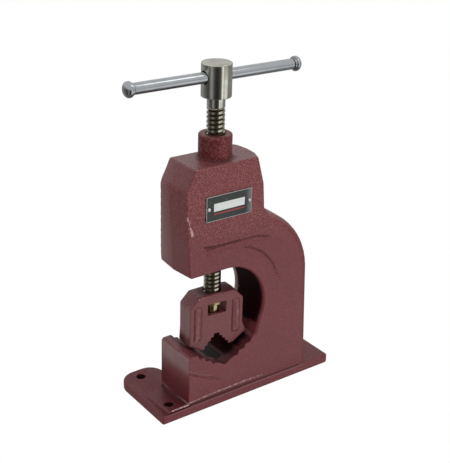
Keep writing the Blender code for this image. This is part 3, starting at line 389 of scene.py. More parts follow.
def makeEnamel(name, look, marks, dustAmount):
    material, tree, shader = startMaterial(name, Coat_Roughness=0.25, Specular_IOR_Level=0.38)
    place = objectPlace(tree)
    height = partsOf(tree, place)["Z"]
    kinds = ("shaded", "bare", "thick", "calm", "hollow", "edge", "dusty")
    shaded, bare, thick, calm, hollow, edge, dusty = (attribute(tree, kind) for kind in kinds)
    grain = ramp(tree, height, *look["grainHeights"], *look["grainShares"])
    raised = ramp(tree, height, *look["lowHeights"], look["lowShare"])
    # painted shade: the hollows stored on the mesh and the stroked shade lines
    grime = strongest(tree, hollow, strokes(tree, place, marks["grime"]))
    hammered = useGroup(tree, hammeredPaint, place=place, cells=look["cells"])
    lively = times(tree, grain, inverse(tree, calm))
    fleck = calc(tree, "MULTIPLY_ADD", hammered["Fleck"], lively, times(tree, calm, look["calmFleck"]))
    wear = useGroup(tree, edgeWear, place=place, edge=edge, rubbing=strokes(tree, place, marks["worn"]))
    worn, rim = wear["Worn"], times(tree, wear["Rim"], look["rimShare"])
    dust = useGroup(tree, settledDust, place=place, amount=times(tree, raised, dustAmount),
                    hollow=dusty)["Dust"]
    cloud, broken, rust = (patches(tree, place, *look[kind]) for kind in ("cloud", "broken", "rustPatch"))
    ochre = times(tree, strokes(tree, place, marks["ochre"]), broken)
    ragged = noiseAt(tree, place, look["raggedScale"])
    ragged = calc(tree, "MULTIPLY_ADD", ragged, look["ragged"], -look["ragged"] / 2)
    metal = ramp(tree, plus(tree, bare, ragged), *look["bareEdge"])

    # from the bottom layer to the top one; the crimson, hollow and shade layers are painted shade and dark
    # reflection, the dust layer also lays painted sheen and painted highlight lines, and the ochre and chip
    # layers hold some painted highlights
    colour = look["face"]
    for share, layer in (
            (times(tree, cloud, look["cloudShare"]), look["deep"]), (thick, look["crimson"]),
            (fleck, look["fleck"]), (dust, look["dust"]), (grime, look["hollow"]), (rim, look["deep"]),
            (strokes(tree, place, marks["pale"]), look["dust"]), (ochre, look["ochre"]), (worn, look["chip"]),
            (metal, blendColours(tree, rust, look["iron"], look["rust"])), (shaded, look["shade"])):
        colour = blendColours(tree, share, colour, layer)
    feed(tree, shader.inputs["Base Color"], colour)
    rough = look["plainRough"]
    for share, layer in ((fleck, look["fleckRough"]), (strongest(tree, worn, grime), look["rubbedRough"]),
                         (metal, look["bareRough"]), (shaded, look["shadedRough"])):
        rough = blendValues(tree, share, rough, layer)
    feed(tree, shader.inputs["Roughness"], rough)
    metallic = strongest(tree, times(tree, metal, look["bareMetal"]), shaded,
                         times(tree, thick, look["thickMetal"]))
    feed(tree, shader.inputs["Metallic"], metallic)
    gloss = calc(tree, "MULTIPLY_ADD", thick, -look["coatLost"] * look["coat"], look["coat"])
    uncovered = inverse(tree, strongest(tree, worn, metal, shaded, grime))
    feed(tree, shader.inputs["Coat Weight"], times(tree, raised, gloss, uncovered))
    relief = blendValues(tree, metal, times(tree, hammered["Height"], grain),
                         times(tree, rust, look["rustRelief"]))
    relief = minus(tree, relief, times(tree, worn, look["wornRelief"]))
    addBump(tree, shader, relief, look["relief"], look["reliefDepth"])
    return material


oilFilm = {"roughness": 0.5, "reliefDepth": 0.00005}


# turned or plated metal, darker where oil collects
def makeSteel(name, look):
    material, tree, shader = startMaterial(name, Metallic=1.0)
    marks = useGroup(tree, turningMarks, place=objectPlace(tree), stretch=look["stretch"],
                     fineness=look["fineness"])
    oily = times(tree, attribute(tree, "hollow"), look["grime"])
    colour = blendColours(tree, marks["Smear"], look["colour"], look["stain"])
    colour = blendColours(tree, attribute(tree, "yellow"), colour, look.get("passivated", look["stain"]))
    feed(tree, shader.inputs["Base Color"], blendColours(tree, oily, colour, look["oil"]))
    rough = blendValues(tree, marks["Smear"], look["smooth"], look["dull"])
    feed(tree, shader.inputs["Roughness"], blendValues(tree, oily, rough, oilFilm["roughness"]))
    addBump(tree, shader, marks["Height"], look["bump"], oilFilm["reliefDepth"])
    return material


screwLook = {"colour": (0.60, 0.595, 0.545, 1.0), "stain": (0.47, 0.455, 0.39, 1.0),
             "oil": (0.085, 0.062, 0.034, 1.0), "grime": 0.95, "smooth": 0.08, "dull": 0.15,
             "bump": 0.22, "stretch": (1.0, 1.0, 30.0), "fineness": 90.0,
             "passivated": (0.46, 0.39, 0.20, 1.0)}
chromeLook = {"colour": (0.43, 0.445, 0.462, 1.0), "stain": (0.385, 0.40, 0.415, 1.0),
              "oil": (0.10, 0.10, 0.10, 1.0), "grime": 0.6, "smooth": 0.14, "dull": 0.20,
              "bump": 0.02, "stretch": (12.0, 1.0, 1.0), "fineness": 120.0}
zincLook = {"colour": (0.66, 0.53, 0.27, 1.0), "stain": (0.45, 0.34, 0.17, 1.0),
            "oil": (0.06, 0.045, 0.02, 1.0), "grime": 0.5, "smooth": 0.24, "dull": 0.4,
            "bump": 0.2, "stretch": (1.0, 1.0, 8.0), "fineness": 120.0}
rivetLook = {"colour": (0.78, 0.78, 0.77, 1.0), "stain": (0.60, 0.60, 0.58, 1.0),
             "oil": (0.10, 0.10, 0.09, 1.0), "grime": 0.6, "smooth": 0.25, "dull": 0.4,
             "bump": 0.2, "stretch": (1.0, 4.0, 1.0), "fineness": 200.0}

# marks on the upper jaw, laid out square to it
jawYaw = math.radians(-5.0)
jawFace = -0.0113
jawMarks = {
    "worn": (
        (((-0.0190, -0.01025, 0.1098), (-0.0127, -0.01025, 0.1113), (0.0011, -0.01025, 0.1125)),
         0.0009, 0.58),
        (((0.0011, -0.01025, 0.1125), (0.0162, -0.01025, 0.1118), (0.0229, -0.01025, 0.1097)), 0.0008, 0.58),
        (((-0.0215, 0.0700), (-0.0218, 0.0660)), 0.0022, 0.74),
        (((-0.0185, 0.1060), (-0.0194, 0.0938)), 0.0010, 0.58),
        (((0.0205, 0.0970), (0.0225, 0.0860), (0.0234, 0.0771)), 0.0012, 0.60),
        (((-0.0268, -0.01025, 0.0600), (-0.0193, -0.01025, 0.0561)), 0.0014, 0.64),
    ),
    "ochre": (
        (((0.0212, 0.0960), (0.0225, 0.0860), (0.0236, 0.0720)), 0.0013, 0.85),
        (((-0.0195, 0.0990), (-0.0215, 0.0720)), 0.0012, 0.70),
        (((-0.0215, 0.0720), (-0.0222, 0.0660)), 0.0018, 0.75),
    ),
    "grime": (
        # painted shade round the screw on the top, at the left foot and beside the ribs
        (((-0.0080, 0.0, 0.1130), (0.0080, 0.0, 0.1130)), 0.0085, 0.85),
        (((-0.0278, -0.0103, 0.0617), (-0.0185, -0.0103, 0.0558)), 0.0022, 0.60),
        (((-0.0175, 0.0980), (-0.0182, 0.0720)), 0.0006, 0.50),
        (((0.0186, 0.0980), (0.0196, 0.0720)), 0.0006, 0.55),
    ),
    "pale": (
        # a painted highlight down the near edge of the left side
        (((-0.0285, -0.0060, 0.1000), (-0.0285, -0.0060, 0.0640)), 0.0040, 0.20),
    ),
}


# the marks with every corner in space, turned about the screw's axis
def placedMarks(marks, face, angle=0.0):
    turn = Matrix.Rotation(angle, 3, "Z")

    def placed(across, *rest):
        deep, up = (face, *rest)[-2:]
        return tuple(turn @ Vector((across, deep, up)))

    return {kind: [([placed(*corner) for corner in path], reach, strength)
                   for path, reach, strength in rows] for kind, rows in marks.items()}


frameEnamel = makeEnamel("frameEnamel", enamelLook, placedMarks(frameMarks, frameFace), dustAmount=0.20)
jawEnamel = makeEnamel("jawEnamel", enamelLook, placedMarks(jawMarks, jawFace, jawYaw), dustAmount=0.09)
screwSteel = makeSteel("screwSteel", screwLook)
handleChrome = makeSteel("handleChrome", chromeLook)
washerZinc = makeSteel("washerZinc", zincLook)
rivetSteel = makeSteel("rivetSteel", rivetLook)
print("paints and metals ready")


# mesh helpers

samePlace = 1e-6  # points this close are one
nearlyZero = 1e-9


def newPiece(name, mesh, material, body, slotName, *nodes):
    piece = newObject(name, mesh)
    mesh.materials.clear()
    mesh.materials.append(material)
    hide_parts(*nodes)
    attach(piece, body)
    return piece


# a new modifier with its settings
def modify(helper, kind, **settings):
    modifier = helper.modifiers.new(kind, kind)
    for key, value in settings.items():
        setattr(modifier, key, value)
    return modifier


# the finished mesh of a helper object, which is removed
def settle(helper, name):
    bpy.context.view_layer.update()
    shown = helper.evaluated_get(bpy.context.evaluated_depsgraph_get())
    mesh = bpy.data.meshes.new_from_object(shown)
    mesh.name = name
    bpy.data.objects.remove(helper)
    return mesh


def meshFrom(shape, name):
    mesh = bpy.data.meshes.new(name)
    shape.to_mesh(mesh)
    shape.free()
    return mesh


# smooth shading, broken where faces meet at more than the crease angle
def shadeSmooth(mesh, crease=None):
    mesh.polygons.foreach_set("use_smooth", [True] * len(mesh.polygons))
    if crease is not None:
        mesh.set_sharp_from_angle(angle=math.radians(crease))


def closedCopy(nodeName):
    shape = bmesh.new()
    shape.from_mesh(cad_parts[nodeName].data)
    bmesh.ops.remove_doubles(shape, verts=shape.verts, dist=samePlace)
    return meshFrom(shape, nodeName + "Closed")


# a merged copy of a node, its edges and corners run soft as cast metal's are
def softCasting(nodeName, look):
    helper = newObject(nodeName + "Helper", closedCopy(nodeName))
    modify(helper, "REMESH", mode="VOXEL", voxel_size=look["voxel"])
    modify(helper, "SMOOTH", factor=0.5, iterations=look["softening"])
    modify(helper, "DECIMATE", ratio=look["keepShare"])
    mesh = settle(helper, nodeName + "Soft")
    shadeSmooth(mesh)
    return mesh


def meshArrays(mesh):
    points = np.empty(len(mesh.vertices) * 3)
    mesh.vertices.foreach_get("co", points)
    normals = np.empty_like(points)
    mesh.vertex_normals.foreach_get("vector", normals)
    pairs = np.empty(len(mesh.edges) * 2, dtype=np.int64)
    mesh.edges.foreach_get("vertices", pairs)
    return points.reshape(-1, 3), normals.reshape(-1, 3), pairs.reshape(-1, 2)


# averages values with those of neighbouring points
def spread(values, pairs, rounds):
    count = len(values)
    first, second = pairs[:, 0], pairs[:, 1]
    neighbours = np.bincount(first, minlength=count) + np.bincount(second, minlength=count)
    for _ in range(rounds):
        total = np.bincount(first, values[second], count) + np.bincount(second, values[first], count)
        values = 0.5 * values + 0.5 * total / np.maximum(neighbours, 1)
    return values


# how sharply the surface bends at each point, positive over edges
def bendOf(points, normals, pairs):
    count = len(points)
    first, second = pairs[:, 0], pairs[:, 1]
    step = points[second] - points[first]
    length = np.maximum(np.linalg.norm(step, axis=1), nearlyZero)
    bend = np.einsum("ij,ij->i", normals[second] - normals[first], step) / length ** 2
    weight = np.bincount(first, minlength=count) + np.bincount(second, minlength=count)
    return (np.bincount(first, bend, count) + np.bincount(second, bend, count)) / np.maximum(weight, 1)


def triangleCount(mesh):
    return len(mesh.loops) - 2 * len(mesh.polygons)


# one value for each point, or the same for all; where none is stored, the materials read 0
def storeValues(mesh, name, values):
    layer = mesh.attributes.new(name, "FLOAT", "POINT")
    values = np.clip(values, 0.0, 1.0) * np.ones(len(mesh.vertices))
    layer.data.foreach_set("value", values.astype(np.float32))


# 0 to 1 between low and high
def rising(values, low, high):
    share = np.clip((values - low) / (high - low), 0.0, 1.0)
    return share * share * (3.0 - 2.0 * share)


def falling(values, low, high):
    return 1.0 - rising(values, low, high)


# points along part of an ellipse, both ends included
def arc(across, up, fromDegrees, toDegrees, steps):
    angles = np.radians(np.linspace(fromDegrees, toDegrees, steps + 1))
    return [(across * math.cos(angle), up * math.sin(angle)) for angle in angles]


lyingAlong = {"X": Matrix.Rotation(math.radians(90), 3, "Y"), "Y": Matrix.Rotation(math.radians(-90), 3, "X")}
turnedCrease = 35.0


# a body of revolution from (radius, place) pairs
def turned(name, profile, segments, axis="Z", offset=(0.0, 0.0, 0.0)):
    shape = bmesh.new()
    rings = []
    for radius, along in profile:
        if radius < nearlyZero:
            rings.append([shape.verts.new((0.0, 0.0, along))])
        else:
            circle = arc(radius, radius, 0.0, 360.0, segments)[:-1]
            rings.append([shape.verts.new((across, deep, along)) for across, deep in circle])
    for low, high in zip(rings, rings[1:]):
        for segment in range(segments):
            after = (segment + 1) % segments
            corners = [low[segment % len(low)], low[after % len(low)], high[after % len(high)],
                       high[segment % len(high)]]
            unique = list(dict.fromkeys(corners))
            if len(unique) > 2:
                shape.faces.new(unique)
    for ring in (rings[0], rings[-1]):
        if len(ring) > 1:
            shape.faces.new(ring)
    bmesh.ops.recalc_face_normals(shape, faces=shape.faces)
    if axis in lyingAlong:
        bmesh.ops.rotate(shape, verts=shape.verts, cent=(0, 0, 0), matrix=lyingAlong[axis])
    bmesh.ops.translate(shape, verts=shape.verts, vec=offset)
    mesh = meshFrom(shape, name)
    shadeSmooth(mesh, turnedCrease)
    return mesh


# an outline pushed along a vector to make a solid
def pushed(name, outline, along):
    shape = bmesh.new()
    base = shape.faces.new([shape.verts.new(corner) for corner in outline])
    raised = bmesh.ops.extrude_face_region(shape, geom=[base])
    moved = [item for item in raised["geom"] if isinstance(item, bmesh.types.BMVert)]
    bmesh.ops.translate(shape, verts=moved, vec=along)
    bmesh.ops.recalc_face_normals(shape, faces=shape.faces)
    return meshFrom(shape, name)


def bevelled(name, mesh, width):
    helper = newObject(name + "Helper", mesh)
    modify(helper, "BEVEL", width=width, segments=2, limit_method="ANGLE")
    made = settle(helper, name)
    shadeSmooth(made, turnedCrease)
    return made


# a curve that takes the place of one corner
def roundedCorner(fromPoint, corner, toPoint, radius, steps=4):
    corner, before, after = Vector(corner), Vector(fromPoint), Vector(toPoint)
    start = corner + (before - corner).normalized() * radius
    end = corner + (after - corner).normalized() * radius
    points = []
    for step in range(steps + 1):
        share = step / steps
        points.append(tuple((1 - share) ** 2 * start + 2 * share * (1 - share) * corner + share ** 2 * end))
    return points


# a profile from the names of each corner's radius and place, where axis means 0; the corners that the
# sizes number are rounded
def softProfile(sizes, *corners):
    sizes = {"axis": 0.0, **sizes}
    points = [(sizes[radius], sizes[along]) for radius, along in corners]
    made, radii = [points[0]], sizes["corners"]
    for index in range(1, len(points) - 1):
        if index in radii:
            made += roundedCorner(points[index - 1], points[index], points[index + 1], radii[index])
        else:
            made.append(points[index])
    return made + [points[-1]]


# cast frame

castingLook = {"voxel": 0.00060, "softening": 3, "keepShare": 0.285, "edge": (120.0, 520.0),
               "hollow": (60.0, 300.0), "hollowShare": 0.85}
# where the casting is bare, and where painted shade, painted sheen and painted dark reflection lie on it, in
# metres, and how much
castZones = {
    "near": -0.0222, "far": 0.0250, "steep": 0.7, "leftward": (0.6, 0.9),
    "vee": ((-0.0320, 0.0320), (0.0395, 0.0625)), "paintedBand": (0.0105, 0.0128),
    "bareReach": ((-0.0180, -0.0110), (0.0040, 0.0080)), "veeShade": ((0.0035, 0.0085), (0.0060, 0.0115)),
    "veeStain": 0.58,
    "throat": (0.0, 0.0970, 0.0455), "throatFront": -0.034, "throatShade": 0.30,
    "shadeNear": (0.0012, 0.0050), "shadeFar": (0.0055, 0.0080), "shadeAcross": (-0.0060, 0.0030),
    "rim": (0.012, 0.070), "darkest": 0.96,
    "holes": ((-0.0538, -0.0103), (-0.0485, 0.0484), (0.1135, 0.0484)), "holeReach": 0.0049,
    "holeTop": 0.0125, "holeShade": 0.75,
    "housing": (0.140, 0.150), "housingLow": (0.165, 0.195), "housingDeep": (0.002, 0.022),
    "housingDust": (0.09, 0.38),
    "post": (-0.033, 0.0128, 0.070), "postTop": (0.038, 0.050), "postFoot": (0.028, 0.038),
    "postDust": 0.60, "postStain": 0.12, "postThick": 0.45,
    "base": 0.0135, "baseThick": 0.35, "besidePost": (-0.070, -0.052, -0.038), "besideThick": 0.50,
    "upper": (0.150, 0.190), "upperThick": 0.25,
    "bossFoot": 0.2440, "bossRing": (0.2415, 0.0162), "bossCalm": 0.10, "leftCalm": 0.55,
}


# stores the edges, and gives the points, normals, edge pairs and the painted shade for its hollows
def dressCasting(mesh, look):
    points, normals, pairs = meshArrays(mesh)
    bend = spread(bendOf(points, normals, pairs), pairs, 2)
    storeValues(mesh, "edge", rising(bend, *look["edge"]))
    return points, normals, pairs, look["hollowShare"] * rising(-bend, *look["hollow"])


# bare iron on the floor of the lower V, by how far in it lies
def bareFloor(zones, across, fromNear, inVee):
    bareIn, bareOut = zones["bareReach"]
    scoured = rising(across, *bareIn) * falling(across, *bareOut)
    return np.where(inVee, rising(fromNear, *zones["paintedBand"]) * scoured, 0.0)


# where little light comes: inside the throat, far down the V and in the bolt holes
def frameShade(zones, points, fromNear, back, inThroat, inVee, steep):
    across, deep, up = points.T
    rightward = zones["throatShade"] + (1.0 - zones["throatShade"]) * rising(across, *zones["shadeAcross"])
    shaded = np.where(inThroat, rising(fromNear, *zones["shadeNear"]) * back * rightward, 0.0)
    acrossShade, depthShade = zones["veeShade"]
    deepVee = rising(across, *acrossShade) * rising(fromNear, *depthShade)
    shaded = np.maximum(shaded, np.where(inVee, deepVee, 0.0))
    low = (up < zones["holeTop"]) & steep
    for holeX, holeY in zones["holes"]:
        inHole = low & (np.hypot(across - holeX, deep - holeY) < zones["holeReach"])
        shaded = np.maximum(shaded, zones["holeShade"] * inHole)
    return shaded


def buildCastFrame():
    mesh = softCasting("frame_casting", castingLook)
    points, normals, pairs, hollow = dressCasting(mesh, castingLook)
    across, deep, up = points.T
    zones = castZones
    fromNear = deep - zones["near"]
    back = rising(zones["far"] - deep, *zones["shadeFar"])
    sideways = np.abs(normals[:, 1]) < zones["steep"]
    steep = np.abs(normals[:, 2]) < zones["steep"]
    leftward = rising(-normals[:, 0], *zones["leftward"])
    nearward = rising(-normals[:, 1], *zones["leftward"])

    # lower V and throat
    (left, right), (low, high) = zones["vee"]
    inVee = (across > left) & (across < right) & (up > low) & (up < high) & sideways
    bare = bareFloor(zones, across, fromNear, inVee)
    centreX, centreZ, radius = zones["throat"]
    inThroat = (np.hypot(across - centreX, up - centreZ) < radius) & (up > low) & sideways
    inThroat &= across > zones["throatFront"]
    shaded = frameShade(zones, points, fromNear, back, inThroat, inVee, steep)
    storeValues(mesh, "bare", spread(bare, pairs, 1))
    storeValues(mesh, "shaded", zones["darkest"] * spread(shaded * (1.0 - bare), pairs, 2))

    # painted sheen on the faces that look left, a painted highlight on the throat's far rim, and painted
    # shade and dark reflection in the V and at the post's foot
    rimFront, rimFoot = zones["rim"]
    rim = np.where(inThroat & (across > rimFront) & (up > rimFoot),
                   rising(fromNear, *zones["shadeNear"]) * (1.0 - back), 0.0)
    lowSheen, deepSheen = zones["housingDust"]
    housing = lowSheen * falling(up, *zones["housingLow"]) + deepSheen * rising(deep, *zones["housingDeep"])
    housing = housing * leftward * rising(up, *zones["housing"])
    postRight, postBottom, postEnd = zones["post"]
    post = leftward * (across < postRight) * (up > postBottom) * (up < postEnd)
    postFoot = post * falling(up, *zones["postFoot"])
    postDust = zones["postDust"] * post * rising(up, *zones["postTop"])
    storeValues(mesh, "dusty", spread(np.maximum(np.maximum(rim, housing), postDust), pairs, 1))
    veeStain = np.where(inVee, zones["veeStain"] * (1.0 - bare), 0.0)
    paintedDark = np.maximum(zones["postStain"] * postFoot, veeStain)
    storeValues(mesh, "hollow", np.maximum(hollow, spread(paintedDark, pairs, 1)))

    # painted shade and dark reflection, as deep crimson with less gloss, on the boss, the base and the post's
    # foot, and less of it high on the near side
    ringFoot, ringRadius = zones["bossRing"]
    boss = (up > zones["bossFoot"]) | ((up > ringFoot) & (np.hypot(across, deep) < ringRadius))
    base = (up < zones["base"]) & (normals[:, 2] > zones["steep"])
    besideStart, besideFull, besideEnd = zones["besidePost"]
    beside = rising(across, besideStart, besideFull) * (across < besideEnd)
    onBase = base * (zones["baseThick"] + zones["besideThick"] * beside)
    lowShade = np.maximum(onBase, zones["postThick"] * postFoot)
    upper = zones["upperThick"] * rising(up, *zones["upper"]) * nearward
    storeValues(mesh, "thick", spread(np.where(boss, 1.0, np.maximum(upper, lowShade)), pairs, 2))
    calm = np.where(boss, zones["bossCalm"], zones["leftCalm"] * leftward)
    storeValues(mesh, "calm", spread(calm, pairs, 1))
    print("cast frame", triangleCount(mesh), "triangles")
    return newPiece("castFrame", mesh, frameEnamel, "frame", "frame_enamel", "frame_casting")


castFrame = buildCastFrame()


# upper jaw

jawLook = {"voxel": 0.00045, "softening": 3, "keepShare": 0.55, "edge": (120.0, 620.0),
           "hollow": (80.0, 400.0), "hollowShare": 0.85}
jawZones = {
    "leftward": (0.5, 0.9), "nearward": (0.7, 0.95), "foot": (0.0665, 0.0755), "top": (0.0990, 0.1040),
    "sideDust": 0.34, "faceDust": 0.10, "footThick": 0.90, "footStain": 0.50,
    "notch": (0.0125, 0.0725), "steep": 0.7, "notchShade": 0.97,
}


def buildJaw():
    mesh = softCasting("upper_jaw", jawLook)
    mesh.transform(Matrix.Rotation(-jawYaw, 4, "Z"))
    points, normals, pairs, hollow = dressCasting(mesh, jawLook)
    zones = jawZones
    up = points[:, 2]
    leftward = rising(-normals[:, 0], *zones["leftward"])
    nearward = rising(-normals[:, 1], *zones["nearward"])
    # the left side above the foot gets painted sheen, and the foot's left side gets painted shade
    aboveFoot = rising(up, *zones["foot"])
    footSide = leftward * (1.0 - aboveFoot)
    sideDust = zones["sideDust"] * leftward * aboveFoot * falling(up, *zones["top"])
    notchHalf, notchTop = zones["notch"]
    notch = (np.abs(points[:, 0]) < notchHalf) & (up < notchTop) & (np.abs(normals[:, 1]) < zones["steep"])
    storeValues(mesh, "dusty", np.maximum(sideDust, zones["faceDust"] * nearward))
    storeValues(mesh, "thick", zones["footThick"] * footSide)
    storeValues(mesh, "hollow", np.maximum(hollow, zones["footStain"] * footSide))
    storeValues(mesh, "shaded", spread(np.where(notch, zones["notchShade"], 0.0), pairs, 2))
    mesh.transform(Matrix.Rotation(jawYaw, 4, "Z"))
    print("upper jaw", triangleCount(mesh), "triangles")
    return newPiece("swivelJaw", mesh, jawEnamel, "jaw", "jaw_enamel", "upper_jaw")


swivelJaw = buildJaw()


# screw: the thread comes from a node tree, the rest is turned

threadSizes = {"Start": 0.1078, "End": 0.2872, "Pitch": 0.0040, "Root": 0.0062, "Crest": 0.0080}
threadSteps = {"Around": 64, "Rows": 12}
threadForm = {"flank": (0.22, 0.50), "runOut": 0.35, "rowShift": 0.0001, "merge": 1e-5, "crease": 40.0,
              "crestEdge": 0.0007, "oiled": (1.0, 0.18), "yellow": 0.30}


def makeThreadTree(form):
    tree = bpy.data.node_groups.new("screwThread", "GeometryNodeTree")
    for kind, sizes in (("NodeSocketFloat", threadSizes), ("NodeSocketInt", threadSteps)):
        for label, value in sizes.items():
            tree.interface.new_socket(name=label, in_out="INPUT", socket_type=kind).default_value = value
    tree.interface.new_socket(name="Metal", in_out="INPUT", socket_type="NodeSocketMaterial")
    tree.interface.new_socket(name="Geometry", in_out="OUTPUT", socket_type="NodeSocketGeometry")
    inputs = addNode(tree, "NodeGroupInput").outputs
    start, end, pitch, root, crest = (inputs[label] for label in threadSizes)
    length = minus(tree, end, start)
    turns = calc(tree, "CEIL", plus(tree, calc(tree, "DIVIDE", length, pitch), 1.0))
    rows = times(tree, turns, inputs["Rows"])
    grid = addNode(tree, "GeometryNodeMeshGrid", {"Vertices X": plus(tree, rows, 1.0),
                                                  "Vertices Y": plus(tree, inputs["Around"], 1.0)})

    # the grid's two sides become turns and angle
    flat = partsOf(tree, addNode(tree, "GeometryNodeInputPosition").outputs[0])
    along, around = (plus(tree, flat[axis], 0.5) for axis in "XY")
    turn = times(tree, along, turns)
    rise = times(tree, minus(tree, plus(tree, turn, around), 1.0), pitch)
    height = calc(tree, "MAXIMUM", plus(tree, start, rise), start)
    height = calc(tree, "MINIMUM", height, end)

    # root, flanks and crest, faded out towards both ends
    phase = calc(tree, "FRACT", plus(tree, turn, form["rowShift"]))
    slope = calc(tree, "ABSOLUTE", calc(tree, "MULTIPLY_ADD", phase, 2.0, -1.0))
    entry = calc(tree, "DIVIDE", minus(tree, height, start), pitch)
    leave = calc(tree, "DIVIDE", minus(tree, end, height), pitch)
    fade = ramp(tree, calc(tree, "MINIMUM", entry, leave), 0.0, form["runOut"])
    share = times(tree, ramp(tree, slope, *form["flank"]), fade)
    depth = times(tree, minus(tree, crest, root), share)
    radius = plus(tree, root, depth)
    angle = times(tree, around, 2.0 * math.pi)
    point = addNode(tree, "ShaderNodeCombineXYZ", {
        "X": times(tree, radius, calc(tree, "COSINE", angle)),
        "Y": times(tree, radius, calc(tree, "SINE", angle)), "Z": height})
    moved = addNode(tree, "GeometryNodeSetPosition",
                    {"Geometry": grid.outputs["Mesh"], "Position": point.outputs[0]})
    closed = addNode(tree, "GeometryNodeMergeByDistance",
                     {"Geometry": moved.outputs[0], "Distance": form["merge"]})
    real = addNode(tree, "GeometryNodeRealizeInstances", {0: closed.outputs[0]})
    finish = addNode(tree, "GeometryNodeSetMaterial",
                     {"Geometry": real.outputs[0], "Material": inputs["Metal"]})
    addNode(tree, "NodeGroupOutput", {"Geometry": finish.outputs[0]})
    return tree


# the mesh that a node tree makes
def growFrom(tree, values, name):
    helper = newObject(name + "Helper", bpy.data.meshes.new(name + "Seed"))
    growth = modify(helper, "NODES", node_group=tree)
    for item in tree.interface.items_tree:
        if item.in_out == "INPUT" and item.name in values:
            growth[item.identifier] = values[item.name]
    return settle(helper, name)


def makeThreadMesh(form):
    values = {**threadSizes, **threadSteps, "Metal": screwSteel}
    shape = bmesh.new()
    shape.from_mesh(growFrom(makeThreadTree(form), values, "threadGrown"))
    bmesh.ops.dissolve_degenerate(shape, dist=samePlace, edges=shape.edges)
    bmesh.ops.holes_fill(shape, edges=[edge for edge in shape.edges if edge.is_boundary])
    bmesh.ops.recalc_face_normals(shape, faces=shape.faces)
    mesh = meshFrom(shape, "threadMesh")
    shadeSmooth(mesh, form["crease"])
    points = meshArrays(mesh)[0]
    radius = np.hypot(points[:, 0], points[:, 1])
    rootOil, crestOil = form["oiled"]
    crest = rising(radius, threadSizes["Root"], threadSizes["Crest"] - form["crestEdge"])
    storeValues(mesh, "hollow", rootOil - (rootOil - crestOil) * crest)
    storeValues(mesh, "yellow", form["yellow"])
    return mesh


headSizes = {"neckBottom": 0.2864, "neckRadius": 0.0080, "hubBottom": 0.2955, "hubTop": 0.3250,
             "hubRadius": 0.01335, "barHeight": 0.3130, "holeRadius": 0.0052, "holeChamfer": 0.0005,
             "holeBeyond": 0.002, "holeFlare": 0.0072, "corners": {1: 0.0006, 3: 0.0008, 4: 0.0013},
             "crease": 30.0, "topSkin": 0.0002, "topOil": 0.30, "around": 96, "holeAround": 64}
pilotSizes = {"bottom": 0.0862, "radius": 0.0067, "grooveLow": 0.0986, "grooveHigh": 0.1018,
              "grooveRadius": 0.0046, "collarBottom": 0.1058, "collarTop": 0.1080, "collarRadius": 0.0076,
              "corners": {1: 0.0009, 2: 0.0003, 5: 0.0003, 7: 0.0003, 8: 0.0004}, "oil": 0.1, "yellow": 0.9,
              "around": 64}


# takes the tools' shapes out of a mesh
def cutWith(mesh, tools, name):
    helper = newObject(name + "Helper", mesh)
    cutters = [newObject(name + "Cutter", tool) for tool in tools]
    for cutter in cutters:
        modify(helper, "BOOLEAN", operation="DIFFERENCE", solver="EXACT", object=cutter)
    made = settle(helper, name)
    for cutter in cutters:
        bpy.data.objects.remove(cutter)
    return made


def joinMeshes(meshes, name):
    shape = bmesh.new()
    for mesh in meshes:
        shape.from_mesh(mesh)
    return meshFrom(shape, name)


def buildHub(head):
    profile = softProfile(
        head, ("axis", "neckBottom"), ("neckRadius", "neckBottom"), ("neckRadius", "hubBottom"),
        ("hubRadius", "hubBottom"), ("hubRadius", "hubTop"), ("axis", "hubTop"))
    reach = head["hubRadius"] + head["holeBeyond"]
    radius, flare = head["holeRadius"], head["holeFlare"]
    edgeAt = math.sqrt(head["hubRadius"] ** 2 - radius ** 2) - head["holeChamfer"]
    holeProfile = [(0.0, -reach), (flare, -reach), (radius, -edgeAt), (radius, edgeAt), (flare, reach),
                   (0.0, reach)]
    hole = turned("barHole", holeProfile, head["holeAround"], "X", (0.0, 0.0, head["barHeight"]))
    hub = cutWith(turned("hubTurned", profile, head["around"]), [hole], "hubCut")
    shadeSmooth(hub, head["crease"])
    onTop = meshArrays(hub)[0][:, 2] > head["hubTop"] - head["topSkin"]
    storeValues(hub, "hollow", np.where(onTop, head["topOil"], 0.0))
    return hub


def buildPilot(end):
    profile = softProfile(
        end, ("axis", "bottom"), ("radius", "bottom"), ("radius", "grooveLow"), ("grooveRadius", "grooveLow"),
        ("grooveRadius", "grooveHigh"), ("radius", "grooveHigh"), ("radius", "collarBottom"),
        ("collarRadius", "collarBottom"), ("collarRadius", "collarTop"), ("axis", "collarTop"))
    pilot = turned("pilotTurned", profile, end["around"])
    storeValues(pilot, "hollow", end["oil"])
    storeValues(pilot, "yellow", end["yellow"])
    return pilot


def buildScrew():
    parts = [makeThreadMesh(threadForm), buildHub(headSizes), buildPilot(pilotSizes)]
    mesh = joinMeshes(parts, "screwMesh")
    print("screw", triangleCount(mesh), "triangles")
    return newPiece("screw", mesh, screwSteel, "screw", "screw_steel", "spindle")


screw = buildScrew()


# sliding bar and its caps

barSizes = {"radius": 0.0049, "right": 0.0822, "left": -0.0822, "stubRadius": 0.0031, "rightEnd": 0.0864,
            "leftEnd": -0.0864, "height": 0.3130, "corners": {3: 0.0007, 4: 0.0007}, "around": 64}
capSizes = {"boreRadius": 0.0033, "boreEnd": 0.0867, "collarRadius": 0.0056, "start": 0.0825,
            "collarEnd": 0.0841, "headRadius": 0.0068, "straightEnd": 0.0862, "end": 0.0903,
            "corners": {3: 0.0004, 5: 0.0010}, "domeSteps": 9}


def turnedHandle(name, profile, node):
    mesh = turned(name + "Mesh", profile, barSizes["around"], "X", (0.0, 0.0, barSizes["height"]))
    return newPiece(name, mesh, handleChrome, "handle", "handle_chrome", node)


